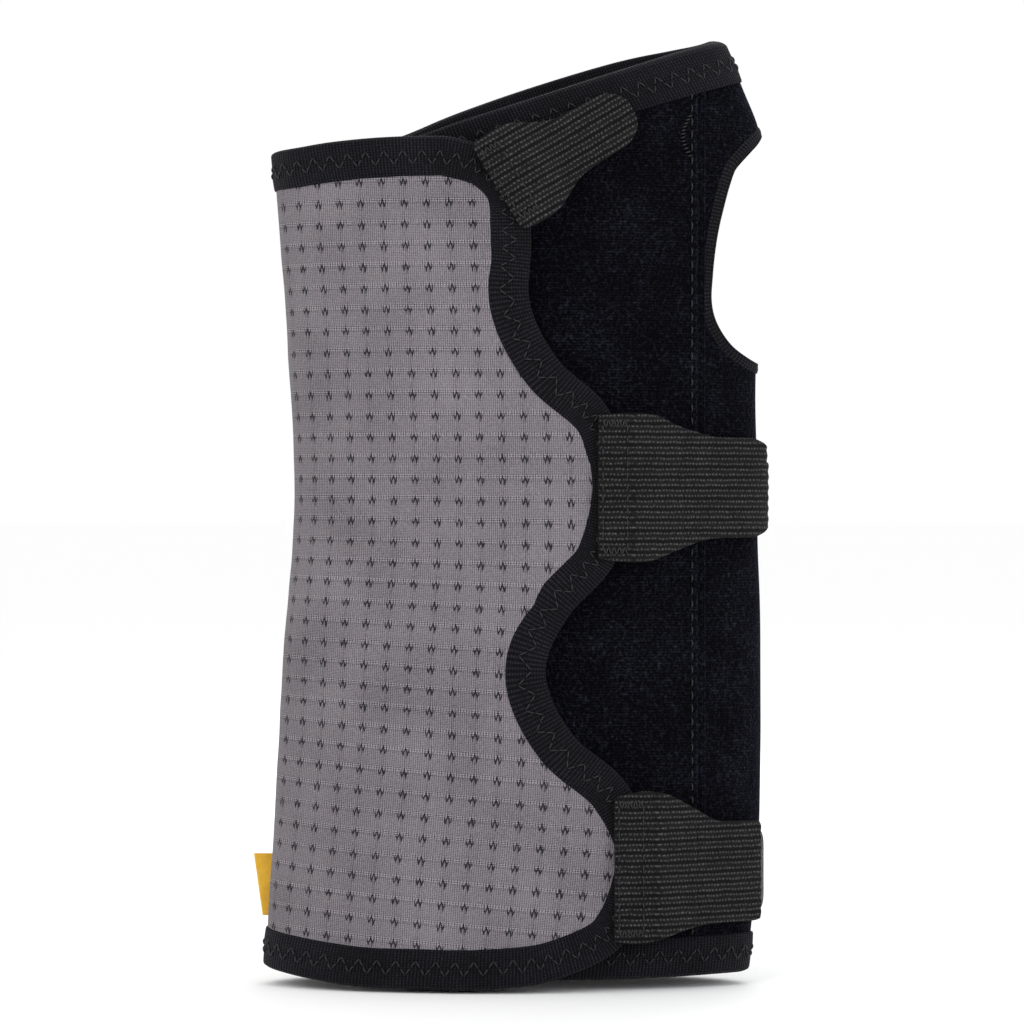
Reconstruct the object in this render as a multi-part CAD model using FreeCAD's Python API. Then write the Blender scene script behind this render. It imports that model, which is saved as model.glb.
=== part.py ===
"""Wrist splint, left hand, closed as it is stored. Millimetres.

The sleeve is a flattened tube that stands on its forearm rim, hand end up (+Z).
-Y is the back of the hand, where the grey mesh flap laps over the loop panel.
+Y is the palm, which carries the stay pocket. +X is the thumb side.
The origin is the middle of the foot print on the plane that the rim stands on.
"""

import FreeCAD
import Part
import math
import os

Vec = FreeCAD.Vector

# Driving dimensions of the sleeve.
# Each station is height, little-finger side x, thumb side x, depth of the front half.
STATIONS = (
    (-10.0, -56.4, 50.2, 23.5),
    (0.0, -56.2, 51.2, 23.2),
    (12.0, -55.6, 52.8, 22.8),
    (35.0, -54.2, 54.6, 22.2),
    (68.0, -52.2, 55.0, 21.4),
    (108.0, -49.8, 54.2, 20.6),
    (140.0, -51.0, 54.0, 20.4),
    (188.0, -54.5, 55.0, 20.2),
    (200.0, -55.3, 51.0, 20.2),
    (212.0, -56.0, 45.6, 20.2),
    (222.0, -56.4, 41.5, 20.2),
)
PALM_DEPTH = 21.0
LAP = 5.2  # how far the loop panel lies under the surface of the flap
PANEL = 3.0  # thickness of the laminated fabrics
MESH_FACE = 1.2
BINDING_LEG = 0.7
BINDING_WIDTH = 9.0
HEM = 0.8  # how far a binding reaches past the edge it covers
LOFT_SECTIONS = 15

# Outline points seen from the front, as (x, z).
FLAP_TOP = ((-70.0, 185.2), (-54.0, 185.9), (-30.0, 187.8), (-14.0, 187.6))
SCALLOP = (
    (-14.0, 187.6),
    (-5.0, 184.6),
    (2.0, 177.0),
    (3.4, 165.0),
    (3.1, 151.0),
    (9.6, 138.4),
    (20.5, 128.0),
    (25.8, 112.0),
    (22.1, 94.0),
    (11.6, 81.8),
    (6.6, 69.5),
    (12.5, 56.3),
    (24.6, 45.3),
    (31.0, 29.5),
    (24.5, 10.6),
    (9.0, 2.2),
    (-8.0, 0.0),
)
FLAP_FOOT = ((-8.0, 0.0), (-35.0, 0.0))
FLAP_FOOT_RISE = ((-35.0, 0.0), (-47.0, 1.2), (-56.0, 3.0), (-70.0, 4.6))
DORSAL_TOP = ((-40.0, 182.6), (-26.0, 187.0), (2.7, 196.4), (22.0, 202.6), (41.0, 208.6), (60.0, 213.0))
PALM_TOP = ((-70.0, 185.6), (-54.0, 186.0), (-30.0, 188.7), (4.0, 200.1), (25.0, 205.9), (44.0, 210.0), (60.0, 211.4))
DORSAL_FOOT = 1.5
THUMB_HOLE = ((60.0, 190.6), (54.6, 188.0), (48.6, 180.0), (45.2, 167.0), (43.7, 153.0), (46.6, 144.4), (54.0, 138.6), (60.0, 137.4))
THUMB_EDGING = 2.6
EDGING_LEG = 0.35

LOOP_PANEL_EDGE = -26.0
DORSAL_SEAM = 40.4
PALM_SEAM = 36.0
ULNAR_SEAM = -47.0
SEAM_GAP = 0.1
HALF_GAP = 0.15  # the front halves stop this far from the fold planes at y = 0
SEAM_TAPE = (7.0, 0.6)  # width and thickness

# Palm stay and its pocket.
STAY_WIDTH = 19.0
STAY_THICKNESS = 1.6
STAY_FOOT = 12.0
STAY_LENGTH = 160.0
STAY_TIP = 12.0
POCKET_X = -3.0
POCKET_HALF = 14.5
POCKET_FOOT = 6.0
POCKET_MOUTH = 179.0
POCKET_BACKING = 1.0
POCKET_COVER = 1.0
POCKET_ROOM = 2.3
POCKET_HEM = 3.2
MOUTH_TAPE = 8.0

# Sewn-in stay on the lining, beside the dorsal seam.
SIDE_STAY = (27.5, 37.5, 22.0, 182.0)  # x from, x to, z from, z to
SIDE_STAY_THICKNESS = 0.9
CHANNEL_MARGIN = 1.6
CHANNEL_WALL = 0.5

# Straps.
WEB = 1.7  # thickness of the elastic webbing
WRAP_GAP = 1.25  # from the sleeve to the inside of the webbing, round the thumb side
HOOK = 0.8
ROOT_LIFT = 1.0  # the sewn end lies on the binding
TRIM = 70.0  # reach of the cutting prisms

OUT = "parts"
_lofts = {}


def slopes(rows, column):
    """Catmull-Rom slope at each station."""
    found = []
    for i in range(len(rows)):
        before = rows[max(i - 1, 0)]
        after = rows[min(i + 1, len(rows) - 1)]
        found.append((after[column] - before[column]) / (after[0] - before[0]))
    return found


SLOPES = {column: slopes(STATIONS, column) for column in (1, 2, 3)}


def at_height(z, column):
    """A station column, smoothly interpolated at height z."""
    i = 0
    while i < len(STATIONS) - 2 and z > STATIONS[i + 1][0]:
        i += 1
    low, high = STATIONS[i], STATIONS[i + 1]
    span = high[0] - low[0]
    t = (z - low[0]) / span
    m0 = SLOPES[column][i] * span
    m1 = SLOPES[column][i + 1] * span
    return (
        (2 * t**3 - 3 * t**2 + 1) * low[column]
        + (t**3 - 2 * t**2 + t) * m0
        + (-2 * t**3 + 3 * t**2) * high[column]
        + (t**3 - t**2) * m1
    )


def section(z, inset, lap):
    """Centre x, half width, front depth and palm depth of the sleeve at height z."""
    left, right = at_height(z, 1), at_height(z, 2)
    front = at_height(z, 3)
    return (left + right) / 2, (right - left) / 2 - inset, front - lap - inset, PALM_DEPTH - inset


def sleeve(inset, lap=0.0):
    """The solid inside the sleeve's surface, inset inwards. lap lowers the front half."""
    key = (inset, lap)
    if key not in _lofts:
        wires = []
        low, high = STATIONS[0][0], STATIONS[-1][0]
        for i in range(LOFT_SECTIONS):
            z = low + (high - low) * i / (LOFT_SECTIONS - 1)
            middle, half, front, palm = section(z, inset, lap)
            centre = Vec(middle, 0, z)
            front_arc = Part.ArcOfEllipse(Part.Ellipse(centre, half, front), math.pi, 2 * math.pi)
            palm_arc = Part.ArcOfEllipse(Part.Ellipse(centre, half, palm), 0, math.pi)
            wires.append(Part.Wire([front_arc.toShape(), palm_arc.toShape()]))
        _lofts[key] = Part.makeLoft(wires, True, False)
    return _lofts[key]


def shell(outer, inner, lap=0.0):
    """The layer between two insets."""
    return sleeve(outer, lap).cut(sleeve(inner, lap))


def curve(points, y=0.0):
    """A smooth edge through (x, z) points, in the plane at y."""
    line = Part.BSplineCurve()
    line.interpolate([Vec(x, y, z) for x, z in points])
    return line


def straight(a, b, y=0.0):
    return Part.LineSegment(Vec(a[0], y, a[1]), Vec(b[0], y, b[1]))


def through(points):
    """A curve through the points, or a straight edge between two of them."""
    return curve(points) if len(points) > 2 else straight(*points)


def prism(edges, y_from, y_to):
    """A closed outline of curves, swept along Y."""
    wire = Part.Wire(Part.__sortEdges__([e.toShape() for e in edges]))
    face = Part.Face(wire)
    face.translate(Vec(0, y_from, 0))
    return face.extrude(Vec(0, y_to - y_from, 0))


def box(x0, x1, y0, y1, z0, z1):
    return Part.makeBox(x1 - x0, y1 - y0, z1 - z0, Vec(x0, y0, z0))


def shifted(points, distance):
    """The (x, z) points moved to the right-hand side of their direction of travel."""
    line = curve(points)
    moved = []
    for x, z in points:
        t = line.parameter(Vec(x, 0, z))
        d = line.tangent(t)[0]
        moved.append((x + d.z * distance, z - d.x * distance))
    return moved


def between(upper, lower, y_from, y_to):
    """The prism between two curves that both run left to right."""
    edges = [through(upper), through(lower)]
    edges += [straight(upper[0], lower[0]), straight(upper[-1], lower[-1])]
    return prism(edges, y_from, y_to)


def level(points, z):
    """A straight pair of points at height z, as wide as points."""
    return ((points[0][0], z), (points[-1][0], z))


def flap_prism(margin, y_from, y_to):
    """What lies inside the flap's edge, moved in by margin."""
    parts = [FLAP_TOP, SCALLOP, FLAP_FOOT, FLAP_FOOT_RISE]
    edges = []
    ends = []
    for points in parts:
        moved = shifted(points, margin) if margin else list(points)
        if ends:
            moved[0] = ends[-1][1]
        ends.append((moved[0], moved[-1]))
        edges.append(through(moved))
    edges.append(straight(ends[-1][1], ends[0][0]))
    return prism(edges, y_from, y_to)


def beyond(points, rise, y_from, y_to, x_from=-TRIM, x_to=TRIM):
    """The slab above a top edge that is lowered by rise, cut to a range of x."""
    lowered = shifted(points, rise)
    lowered = [(points[0][0], lowered[0][1])] + lowered[1:-1] + [(points[-1][0], lowered[-1][1])]
    slab = between(level(points, 240.0), lowered, y_from, y_to)
    return slab.common(box(x_from, x_to, y_from, y_to, 0, 240))


def below(points, drop, y_from, y_to):
    """What lies under a top edge that is lowered by drop."""
    return box(-TRIM, TRIM, y_from, y_to, -9, 240).cut(beyond(points, drop, y_from, y_to))


def write(name, shape):
    """One STEP file for a node, with its solids checked."""
    solids = [s for s in shape.Solids if s.Volume > 0.05]
    whole = solids[0] if len(solids) == 1 else Part.makeCompound(solids)
    if not solids or not whole.isValid():
        raise ValueError(f"{name} is not a valid solid")
    whole.exportStep(os.path.join(OUT, name + ".step"))
    print(f"{name}: {len(solids)} solid(s), {whole.Volume:.0f} mm3")


# ---------------------------------------------------------------- sleeve panels


def laminate(region, lap=LAP):
    """The face fabric and the lined foam behind it, within a region."""
    return shell(0, MESH_FACE, lap).common(region), shell(MESH_FACE, PANEL, lap).common(region)


def palm_region():
    """What lies inside the edges of the palm half."""
    return below(PALM_TOP, HEM, HALF_GAP, TRIM).common(box(-TRIM, TRIM, HALF_GAP, TRIM, HEM, 240))


def dorsal_region():
    """What lies inside the edges of the loop-covered front half."""
    inside = below(DORSAL_TOP, HEM, -TRIM, -HALF_GAP)
    return inside.common(box(LOOP_PANEL_EDGE + HEM, TRIM, -TRIM, -HALF_GAP, DORSAL_FOOT + HEM, 240))


def across(region, x0, x1):
    return region.common(box(x0, x1, -TRIM, TRIM, -1, 240))


def thumb_prism(margin):
    """The thumb hole's outline, moved in by margin and swept through both sides."""
    points = shifted(THUMB_HOLE, -margin) if margin else list(THUMB_HOLE)
    edges = [curve(points), straight(points[0], points[-1])]
    return prism(edges, -TRIM, TRIM)


def flap_bindings(fabric):
    """Tape round the flap: hand edge, scalloped edge and forearm edge."""
    band = flap_prism(0, -TRIM, -HALF_GAP).cut(flap_prism(BINDING_WIDTH, -TRIM, 0))
    tape = shell(-BINDING_LEG, PANEL + BINDING_LEG - 0.1).common(band)
    tape = tape.cut(fabric)
    top_cut = box(-TRIM, SCALLOP[0][0], -TRIM, 0, 150, 240)
    foot_cut = box(-TRIM, SCALLOP[-1][0], -TRIM, 0, -1, 40)
    return tape.common(top_cut), tape.cut(top_cut).cut(foot_cut), tape.common(foot_cut)


def palm_bindings(fabric):
    """Tape on the hand and forearm edges of the palm half, split at the ulnar seam."""
    tape = shell(-BINDING_LEG, PANEL + BINDING_LEG - 0.1, LAP)
    top = tape.common(beyond(PALM_TOP, BINDING_WIDTH, HALF_GAP, TRIM).cut(beyond(PALM_TOP, 0, 0, TRIM)))
    foot = tape.common(box(-TRIM, TRIM, HALF_GAP, TRIM, 0, BINDING_WIDTH))
    top, foot = top.cut(fabric), foot.cut(fabric)
    made = {}
    made["palm_top_binding"] = across(top, ULNAR_SEAM, TRIM)
    made["palm_foot_binding"] = across(foot, ULNAR_SEAM, TRIM)
    made["ulnar_top_binding"] = across(top, -TRIM, ULNAR_SEAM)
    made["ulnar_foot_binding"] = across(foot, -TRIM, ULNAR_SEAM)
    return made


def dorsal_bindings(fabric):
    """Tape on the hand, forearm and hidden free edges of the loop panel."""
    tape = shell(-BINDING_LEG, PANEL + BINDING_LEG - 0.1, LAP)
    tape = tape.common(box(LOOP_PANEL_EDGE, TRIM, -TRIM, -HALF_GAP, DORSAL_FOOT, 240)).cut(fabric)
    tape = tape.cut(beyond(DORSAL_TOP, 0, -TRIM, 0))
    top = tape.common(beyond(DORSAL_TOP, BINDING_WIDTH, -TRIM, 0))
    foot = tape.common(box(-TRIM, TRIM, -TRIM, 0, 0, DORSAL_FOOT + BINDING_WIDTH))
    side = across(tape, -TRIM, LOOP_PANEL_EDGE + BINDING_WIDTH).cut(top).cut(foot)
    return {"dorsal_top_binding": top, "dorsal_foot_binding": foot, "dorsal_edge_binding": side}


def thumb_edging(fabric, y_from, y_to, rim):
    """The thin turned edge round one half of the thumb hole."""
    ring = thumb_prism(-THUMB_EDGING).cut(thumb_prism(0)).common(box(-TRIM, TRIM, y_from, y_to, 0, 240))
    tape = shell(-EDGING_LEG, PANEL + EDGING_LEG, LAP).common(ring)
    return tape.cut(fabric).cut(rim)


def seam_tape():
    """The tape over the ulnar seam, between the two rim bindings."""
    width, thickness = SEAM_TAPE
    strip = box(ULNAR_SEAM - width / 2, ULNAR_SEAM + width / 2, 0, TRIM, BINDING_WIDTH + 0.1, 175.5)
    return shell(-thickness, 0, LAP).common(strip)


def side_tag():
    """The folded label in the ulnar seam, with no print."""
    outline = ((-57.9, 27.6), (-50.6, 27.8), (-51.4, 13.6), (-56.4, 13.4))
    edges = [straight(outline[i], outline[(i + 1) % 4]) for i in range(4)]
    leaf = prism(edges, 9.6, 10.5)
    return leaf.cut(sleeve(-SEAM_TAPE[1] - 0.05))


# ---------------------------------------------------------------- stays


def palm_pocket():
    """Backing, side hems and cover of the stay pocket on the palm, open at the hand end."""
    x0, x1 = POCKET_X - POCKET_HALF, POCKET_X + POCKET_HALF
    inner = PALM_DEPTH + POCKET_BACKING
    outer = inner + POCKET_ROOM + POCKET_COVER
    block = box(x0, x1, PALM_DEPTH - 6, outer, POCKET_FOOT + 4, POCKET_MOUTH)
    block = block.cut(sleeve(-0.02, LAP))
    side = outer - PALM_DEPTH
    for x, sign in ((x0, 1), (x1, -1)):
        wedge = [Vec(x, outer, 0), Vec(x + sign * side, outer, 0), Vec(x, PALM_DEPTH, 0), Vec(x, outer, 0)]
        knife = Part.Face(Part.makePolygon(wedge)).extrude(Vec(0, 0, 240))
        block = block.cut(knife)
    room = box(x0 + POCKET_HEM + 1, x1 - POCKET_HEM - 1, inner, inner + POCKET_ROOM, STAY_FOOT - 0.4, 240)
    cover = block.cut(room)
    mouth = box(x0 - 1, x1 + 1, inner, 40, POCKET_MOUTH - MOUTH_TAPE, 240)
    tape = cover.common(mouth)
    return cover.cut(mouth), tape


def palm_stay():
    """The aluminium stay with a moulded tip at each end."""
    y0 = PALM_DEPTH + POCKET_BACKING + (POCKET_ROOM - STAY_THICKNESS) / 2
    half = STAY_WIDTH / 2
    low, high = STAY_FOOT, STAY_FOOT + STAY_LENGTH
    left, right = POCKET_X - half, POCKET_X + half
    arc_top = Part.Arc(Vec(left, y0, high - half), Vec(POCKET_X, y0, high), Vec(right, y0, high - half))
    arc_low = Part.Arc(Vec(right, y0, low + half), Vec(POCKET_X, y0, low), Vec(left, y0, low + half))
    sides = [straight((left, low + half), (left, high - half), y0), straight((right, high - half), (right, low + half), y0)]
    wire = Part.Wire(Part.__sortEdges__([e.toShape() for e in (sides[0], arc_top, sides[1], arc_low)]))
    bar = Part.Face(wire).extrude(Vec(0, STAY_THICKNESS, 0))
    ends = box(left - 1, right + 1, y0 - 1, y0 + 3, low - 1, low + STAY_TIP)
    ends = ends.fuse(box(left - 1, right + 1, y0 - 1, y0 + 3, high - STAY_TIP, high + 1))
    tips = bar.common(ends)
    return bar.cut(ends), tips


def side_stay():
    """The narrow sewn-in stay and the channel that holds it on the lining."""
    x0, x1, z0, z1 = SIDE_STAY
    core = shell(PANEL + 0.15, PANEL + 0.15 + SIDE_STAY_THICKNESS, LAP)
    stay = core.common(box(x0, x1, -TRIM, 0, z0, z1))
    reach = PANEL + 0.3 + SIDE_STAY_THICKNESS + CHANNEL_WALL
    margin = CHANNEL_MARGIN
    cover = shell(PANEL + 0.02, reach, LAP)
    cover = cover.common(box(x0 - margin, x1 + margin, -TRIM, 0, z0 - margin, z1 + margin))
    pocket = shell(PANEL, PANEL + 0.3 + SIDE_STAY_THICKNESS, LAP)
    pocket = pocket.common(box(x0 - 0.3, x1 + 0.3, -TRIM, 0, z0 - 0.3, z1 + 0.3))
    return stay, cover.cut(pocket)


# ---------------------------------------------------------------- straps


def ellipse_point(middle, half, depth, angle):
    return (middle + half * math.cos(angle), depth * math.sin(angle))


class WrapStrap:
    """A strap sewn to the flap that runs taut to the thumb side and rolls over its edge."""

    def __init__(self, name, root_x, hinge_x, split_x, heights, root_heights, top, foot, stop):
        self.name = name
        self.root_x, self.hinge_x, self.split_x = root_x, hinge_x, split_x
        self.low, self.high = heights
        self.root_low, self.root_high = root_heights
        self.top, self.foot = top, foot
        self.stop = stop
        self.widest = max(heights, key=lambda z: at_height(z, 2))

    def flap_level(self, x):
        """The inside of the sewn end at x, clear of the flap's binding over its whole height."""
        middle, half, front, _ = section(self.root_low, -ROOT_LIFT, 0)
        return -front * math.sqrt(1 - ((x - middle) / half) ** 2)

    def route(self):
        """The inside of the webbing in plan: points and outward normals, with the splits."""
        middle, half, front, _ = section(self.widest, -WRAP_GAP, LAP)
        start = (self.hinge_x, self.flap_level(self.hinge_x))
        best = min(
            (2 * math.pi - math.radians(a) for a in range(5, 70)),
            key=lambda t: self.turn(start, middle, half, front, t),
        )
        points = [start]
        tangent = ellipse_point(middle, half, front, best)
        points.append(tangent)
        return points, best, (middle, half, front)

    @staticmethod
    def turn(start, middle, half, front, t):
        """How far the line from start misses being tangent to the ellipse at t."""
        x, y = ellipse_point(middle, half, front, t)
        dx, dy = -half * math.sin(t), front * math.cos(t)
        sx, sy = x - start[0], y - start[1]
        return abs(sx * dy - sy * dx) / math.hypot(dx, dy) / math.hypot(sx, sy)

    def plan(self):
        """Lists of inside points for the root, web and tab stretches."""
        (start, tangent), best, (middle, half, front) = self.route()
        root = [(x, self.flap_level(x)) for x in (self.root_x, (self.root_x + self.hinge_x) / 2, self.hinge_x)]
        split_angle = 2 * math.pi - math.acos((self.split_x - middle) / half)
        end_angle = 2 * math.pi - math.asin(self.stop / front)
        if split_angle < best:
            share = (self.split_x - start[0]) / (tangent[0] - start[0])
            split = (self.split_x, start[1] + share * (tangent[1] - start[1]))
            web = [start, split]
            tab = [split] + self.arc(middle, half, front, best, end_angle, 7)
        else:
            web = [start] + self.arc(middle, half, front, best, split_angle, 4)
            tab = self.arc(middle, half, front, split_angle, end_angle, 7)
        return {"root": root, "web": web, "tab": tab}

    @staticmethod
    def arc(middle, half, depth, a, b, count):
        return [ellipse_point(middle, half, depth, a + (b - a) * i / count) for i in range(count + 1)]

    def slab(self, points, z0, z1, inner=0.0, outer=WEB):
        """The stretch between two offsets of its inside line, extruded over a height."""
        near, far = offset_line(points, inner), offset_line(points, outer)
        edges = [line_through(near), line_through(far)]
        edges += [flat_line(near[0], far[0]), flat_line(near[-1], far[-1])]
        wire = Part.Wire(Part.__sortEdges__([e.toShape() for e in edges]))
        face = Part.Face(wire)
        face.translate(Vec(0, 0, z0))
        return face.extrude(Vec(0, 0, z1 - z0))

    def outline(self, margin=0.0):
        """The strap seen from the front, with the end rounded where it rolls over the side."""
        upper = [(x, z - margin) for x, z in self.top]
        lower = [(x, z + margin) for x, z in self.foot]
        return between(upper, lower, -TRIM, TRIM)

    def end_round(self, margin):
        """The tab's height lessened towards its end, as a prism along X."""
        low, high = self.low + margin, self.high - margin
        radius = 6.0 - margin
        stop = -self.stop - margin
        block = box(0, TRIM, -TRIM, stop, low, high)
        corners = [e for e in block.Edges if self.is_end_edge(e, stop)]
        return block.makeFillet(radius, corners)

    @staticmethod
    def is_end_edge(edge, y0):
        a, b = edge.Vertexes[0].Point, edge.Vertexes[-1].Point
        along_x = abs(a.y - b.y) < 1e-6 and abs(a.z - b.z) < 1e-6
        return along_x and abs(a.y - y0) < 1e-6

    def pieces(self):
        """Sewn root, free web, tab and the hook patch under the tab."""
        plan = self.plan()
        low, high = self.root_low - 1, self.root_high + 1
        outline = self.outline()
        root = self.slab(plan["root"], low, high).common(outline)
        web = self.slab(plan["web"], low, high).common(outline)
        tab = self.slab(plan["tab"], low, high).common(outline).common(self.end_round(0))
        hook = self.slab(plan["tab"], low, high, -HOOK, 0).common(self.end_round(1.4))
        hook = hook.common(box(self.split_x + 1.2, TRIM, -TRIM, 0, 0, 240)).common(self.outline(1.4))
        return root, web, tab, hook

    def hinges(self):
        """Plan points of the two fold lines, on the outside of the webbing."""
        plan = self.plan()
        return [offset_line(plan[k], WEB)[0] for k in ("web", "tab")]


def offset_line(points, distance):
    """Points moved outwards, to the right of their direction of travel."""
    moved = []
    for i, (x, y) in enumerate(points):
        a = points[max(i - 1, 0)]
        b = points[min(i + 1, len(points) - 1)]
        dx, dy = b[0] - a[0], b[1] - a[1]
        size = math.hypot(dx, dy)
        moved.append((x + dy / size * distance, y - dx / size * distance))
    return moved


def line_through(points):
    if len(points) == 2:
        return flat_line(*points)
    line = Part.BSplineCurve()
    line.interpolate([Vec(x, y, 0) for x, y in points])
    return line


def flat_line(a, b):
    return Part.LineSegment(Vec(a[0], a[1], 0), Vec(b[0], b[1], 0))


MID_STRAP = WrapStrap(
    "strap_mid",
    root_x=18.1,
    hinge_x=26.9,
    split_x=46.0,
    heights=(99.3, 121.5),
    root_heights=(93.9, 126.9),
    top=((18.1, 126.3), (24.0, 126.9), (30.2, 126.5), (36.0, 124.0), (42.6, 122.0), (46.0, 121.6), (60.0, 121.5)),
    foot=((18.1, 94.7), (24.0, 93.9), (29.5, 94.2), (35.5, 96.5), (41.0, 98.6), (46.0, 99.2), (60.0, 99.3)),
    stop=0.6,
)
LOW_STRAP = WrapStrap(
    "strap_low",
    root_x=21.6,
    hinge_x=32.2,
    split_x=46.0,
    heights=(13.8, 36.2),
    root_heights=(10.0, 43.6),
    top=((21.6, 42.3), (28.0, 43.6), (33.4, 42.7), (39.0, 39.6), (43.0, 37.2), (46.0, 36.4), (60.0, 36.2)),
    foot=((21.6, 10.6), (26.0, 10.0), (31.0, 10.6), (36.5, 12.4), (41.0, 13.4), (46.0, 13.8), (60.0, 13.8)),
    stop=0.6,
)

# The hand strap lies on the slant over the back of the hand.
# Its own axes are u along the strap, v across it, and y through it.
TOP_ORIGIN = (-4.2, 176.2)
TOP_SLANT = math.radians(31.0)
TOP_HALF_WIDTHS = ((0.0, 10.0), (2.0, 11.2), (8.5, 11.2), (13.5, 8.9), (18.0, 7.1), (24.0, 6.6), (28.6, 6.4))
TOP_END = 34.8
TOP_HINGE, TOP_SPLIT = 6.8, 19.0
TOP_LEVELS = ((0.0, -21.15), (6.8, -21.15), (14.0, -18.0), (19.0, -17.1), (27.0, -16.2), (35.4, -15.3))


def top_place(shape):
    """Turns a shape from the hand strap's own u, y, v axes into the sleeve's."""
    shape.rotate(Vec(0, 0, 0), Vec(0, -1, 0), math.degrees(TOP_SLANT))
    shape.translate(Vec(TOP_ORIGIN[0], 0, TOP_ORIGIN[1]))
    return shape


def top_level(u):
    """The inside of the hand strap at u."""
    for (u0, y0), (u1, y1) in zip(TOP_LEVELS, TOP_LEVELS[1:]):
        if u <= u1:
            return y0 + (y1 - y0) * (u - u0) / (u1 - u0)
    return TOP_LEVELS[-1][1]


def top_slab(u0, u1, inner, outer):
    """A stretch of the hand strap between two offsets, wider than its outline."""
    stops = [u0] + [u for u, _ in TOP_LEVELS if u0 < u < u1] + [u1]
    near = [(u, top_level(u) - inner) for u in stops]
    far = [(u, top_level(u) - outer) for u in stops]
    loop = near + far[::-1] + [near[0]]
    face = Part.Face(Part.makePolygon([Vec(u, y, -14) for u, y in loop]))
    return face.extrude(Vec(0, 0, 28))


def top_outline(margin=0.0):
    """The strap's shape from the front: a wide sewn end that narrows to a round tip."""
    upper = [(u, w - margin) for u, w in TOP_HALF_WIDTHS]
    lower = [(u, -w) for u, w in upper]
    end = (TOP_END - margin, 0.0)
    shoulder = 0.72 * upper[-1][1]
    near_end = TOP_END - margin - 2.0
    tip = upper[-1:] + [(near_end, shoulder), end, (near_end, -shoulder)] + lower[-1:]
    edges = [curve(upper), curve(tip), curve(lower), straight(upper[0], lower[0])]
    return prism(edges, -TRIM, TRIM)


def top_strap():
    """Sewn root, web, tip and hook patch of the hand strap."""
    outline = top_outline()
    root = top_slab(0, TOP_HINGE, 0, WEB).common(outline)
    web = top_slab(TOP_HINGE, TOP_SPLIT, 0, WEB).common(outline)
    tip = top_slab(TOP_SPLIT, TOP_LEVELS[-1][0], 0, WEB).common(outline)
    hook = top_slab(TOP_SPLIT + 1.0, TOP_LEVELS[-1][0], -HOOK, 0).common(top_outline(1.3))
    return [top_place(s) for s in (root, web, tip, hook)]


def bartacks():
    """The dense stitch bars that hold each strap's sewn end, six in all."""
    bars = []
    size = (5.6, 1.1, 0.35)
    for strap in (MID_STRAP, LOW_STRAP):
        for z in (strap.root_low + 5.0, strap.root_high - 5.0):
            x = strap.root_x + 0.9
            bar = box(x, x + size[0], -40, 0, z - size[1], z + size[1])
            skin = strap.slab(strap.plan()["root"], strap.root_low, strap.root_high, WEB, WEB + size[2])
            bars.append(bar.common(skin))
    for v in (-7.4, 7.4):
        bar = box(0.9, 0.9 + size[0], TOP_LEVELS[0][1] - WEB - size[2], TOP_LEVELS[0][1] - WEB, v - size[1], v + size[1])
        bars.append(top_place(bar))
    return Part.makeCompound([s for b in bars for s in b.Solids])


def sleeve_nodes():
    """The fabrics, edgings and trims of the palm half, the loop half and the flap."""
    nodes = {}
    palm, dorsal = palm_region(), dorsal_region()
    hole = thumb_prism(-0.8)
    palm_whole, dorsal_whole = shell(0, PANEL, LAP).common(palm), shell(0, PANEL, LAP).common(dorsal)
    nodes["palm_face"], nodes["palm_lining"] = laminate(across(palm, ULNAR_SEAM + SEAM_GAP, PALM_SEAM))
    nodes["ulnar_mesh"], nodes["ulnar_foam"] = laminate(across(palm, -TRIM, ULNAR_SEAM - SEAM_GAP))
    nodes["thumb_gusset_back"] = across(palm_whole, PALM_SEAM + SEAM_GAP, TRIM).cut(hole)
    nodes["dorsal_loop_face"], nodes["dorsal_lining"] = laminate(across(dorsal, -TRIM, DORSAL_SEAM))
    nodes["thumb_gusset_front"] = across(dorsal_whole, DORSAL_SEAM + SEAM_GAP, TRIM).cut(hole)
    flap = flap_prism(HEM, -TRIM, -HALF_GAP)
    nodes["flap_mesh"], nodes["flap_foam"] = laminate(flap, 0.0)
    top, scallop, foot = flap_bindings(shell(0, PANEL).common(flap))
    nodes["flap_top_binding"], nodes["scallop_binding"], nodes["flap_foot_binding"] = top, scallop, foot
    for name, shape in palm_bindings(palm_whole).items():
        nodes[name] = shape.cut(thumb_prism(0))
    for name, shape in dorsal_bindings(dorsal_whole).items():
        nodes[name] = shape.cut(thumb_prism(0))
    back, front = nodes["thumb_gusset_back"], nodes["thumb_gusset_front"]
    nodes["thumb_edging_back"] = thumb_edging(back, HALF_GAP, TRIM, nodes["palm_top_binding"])
    nodes["thumb_edging_front"] = thumb_edging(front, -TRIM, -HALF_GAP, nodes["dorsal_top_binding"])
    return nodes


def main():
    os.makedirs(OUT, exist_ok=True)
    nodes = sleeve_nodes()
    nodes["ulnar_seam_tape"] = seam_tape()
    nodes["side_tag"] = side_tag()
    nodes["stay_pocket"], nodes["pocket_mouth_tape"] = palm_pocket()
    nodes["palm_stay"], nodes["palm_stay_tips"] = palm_stay()
    nodes["side_stay"], nodes["side_stay_channel"] = side_stay()
    for strap in (MID_STRAP, LOW_STRAP):
        for part, shape in zip(("root", "web", "tab", "hook"), strap.pieces()):
            nodes[f"{strap.name}_{part}"] = shape
        print(strap.name, "fold lines", [tuple(round(c, 2) for c in h) for h in strap.hinges()])
    for part, shape in zip(("root", "web", "tab", "hook"), top_strap()):
        nodes[f"strap_top_{part}"] = shape
    nodes["strap_bartacks"] = bartacks()
    for name, shape in nodes.items():
        write(name, shape)


main()
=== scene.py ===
"""The looks of the wrist splint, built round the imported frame.

Shapes are worked out in millimetres, and turned into metres when a mesh is made.
A place on the sleeve is (t, z): t is the angle round it, 0 at the thumb side and pi at the
little-finger side, with the palm between 0 and pi and the back of the hand between pi and 2 pi.
"""

import math

import bpy
import bmesh
import numpy as np
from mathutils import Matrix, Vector, noise


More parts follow.
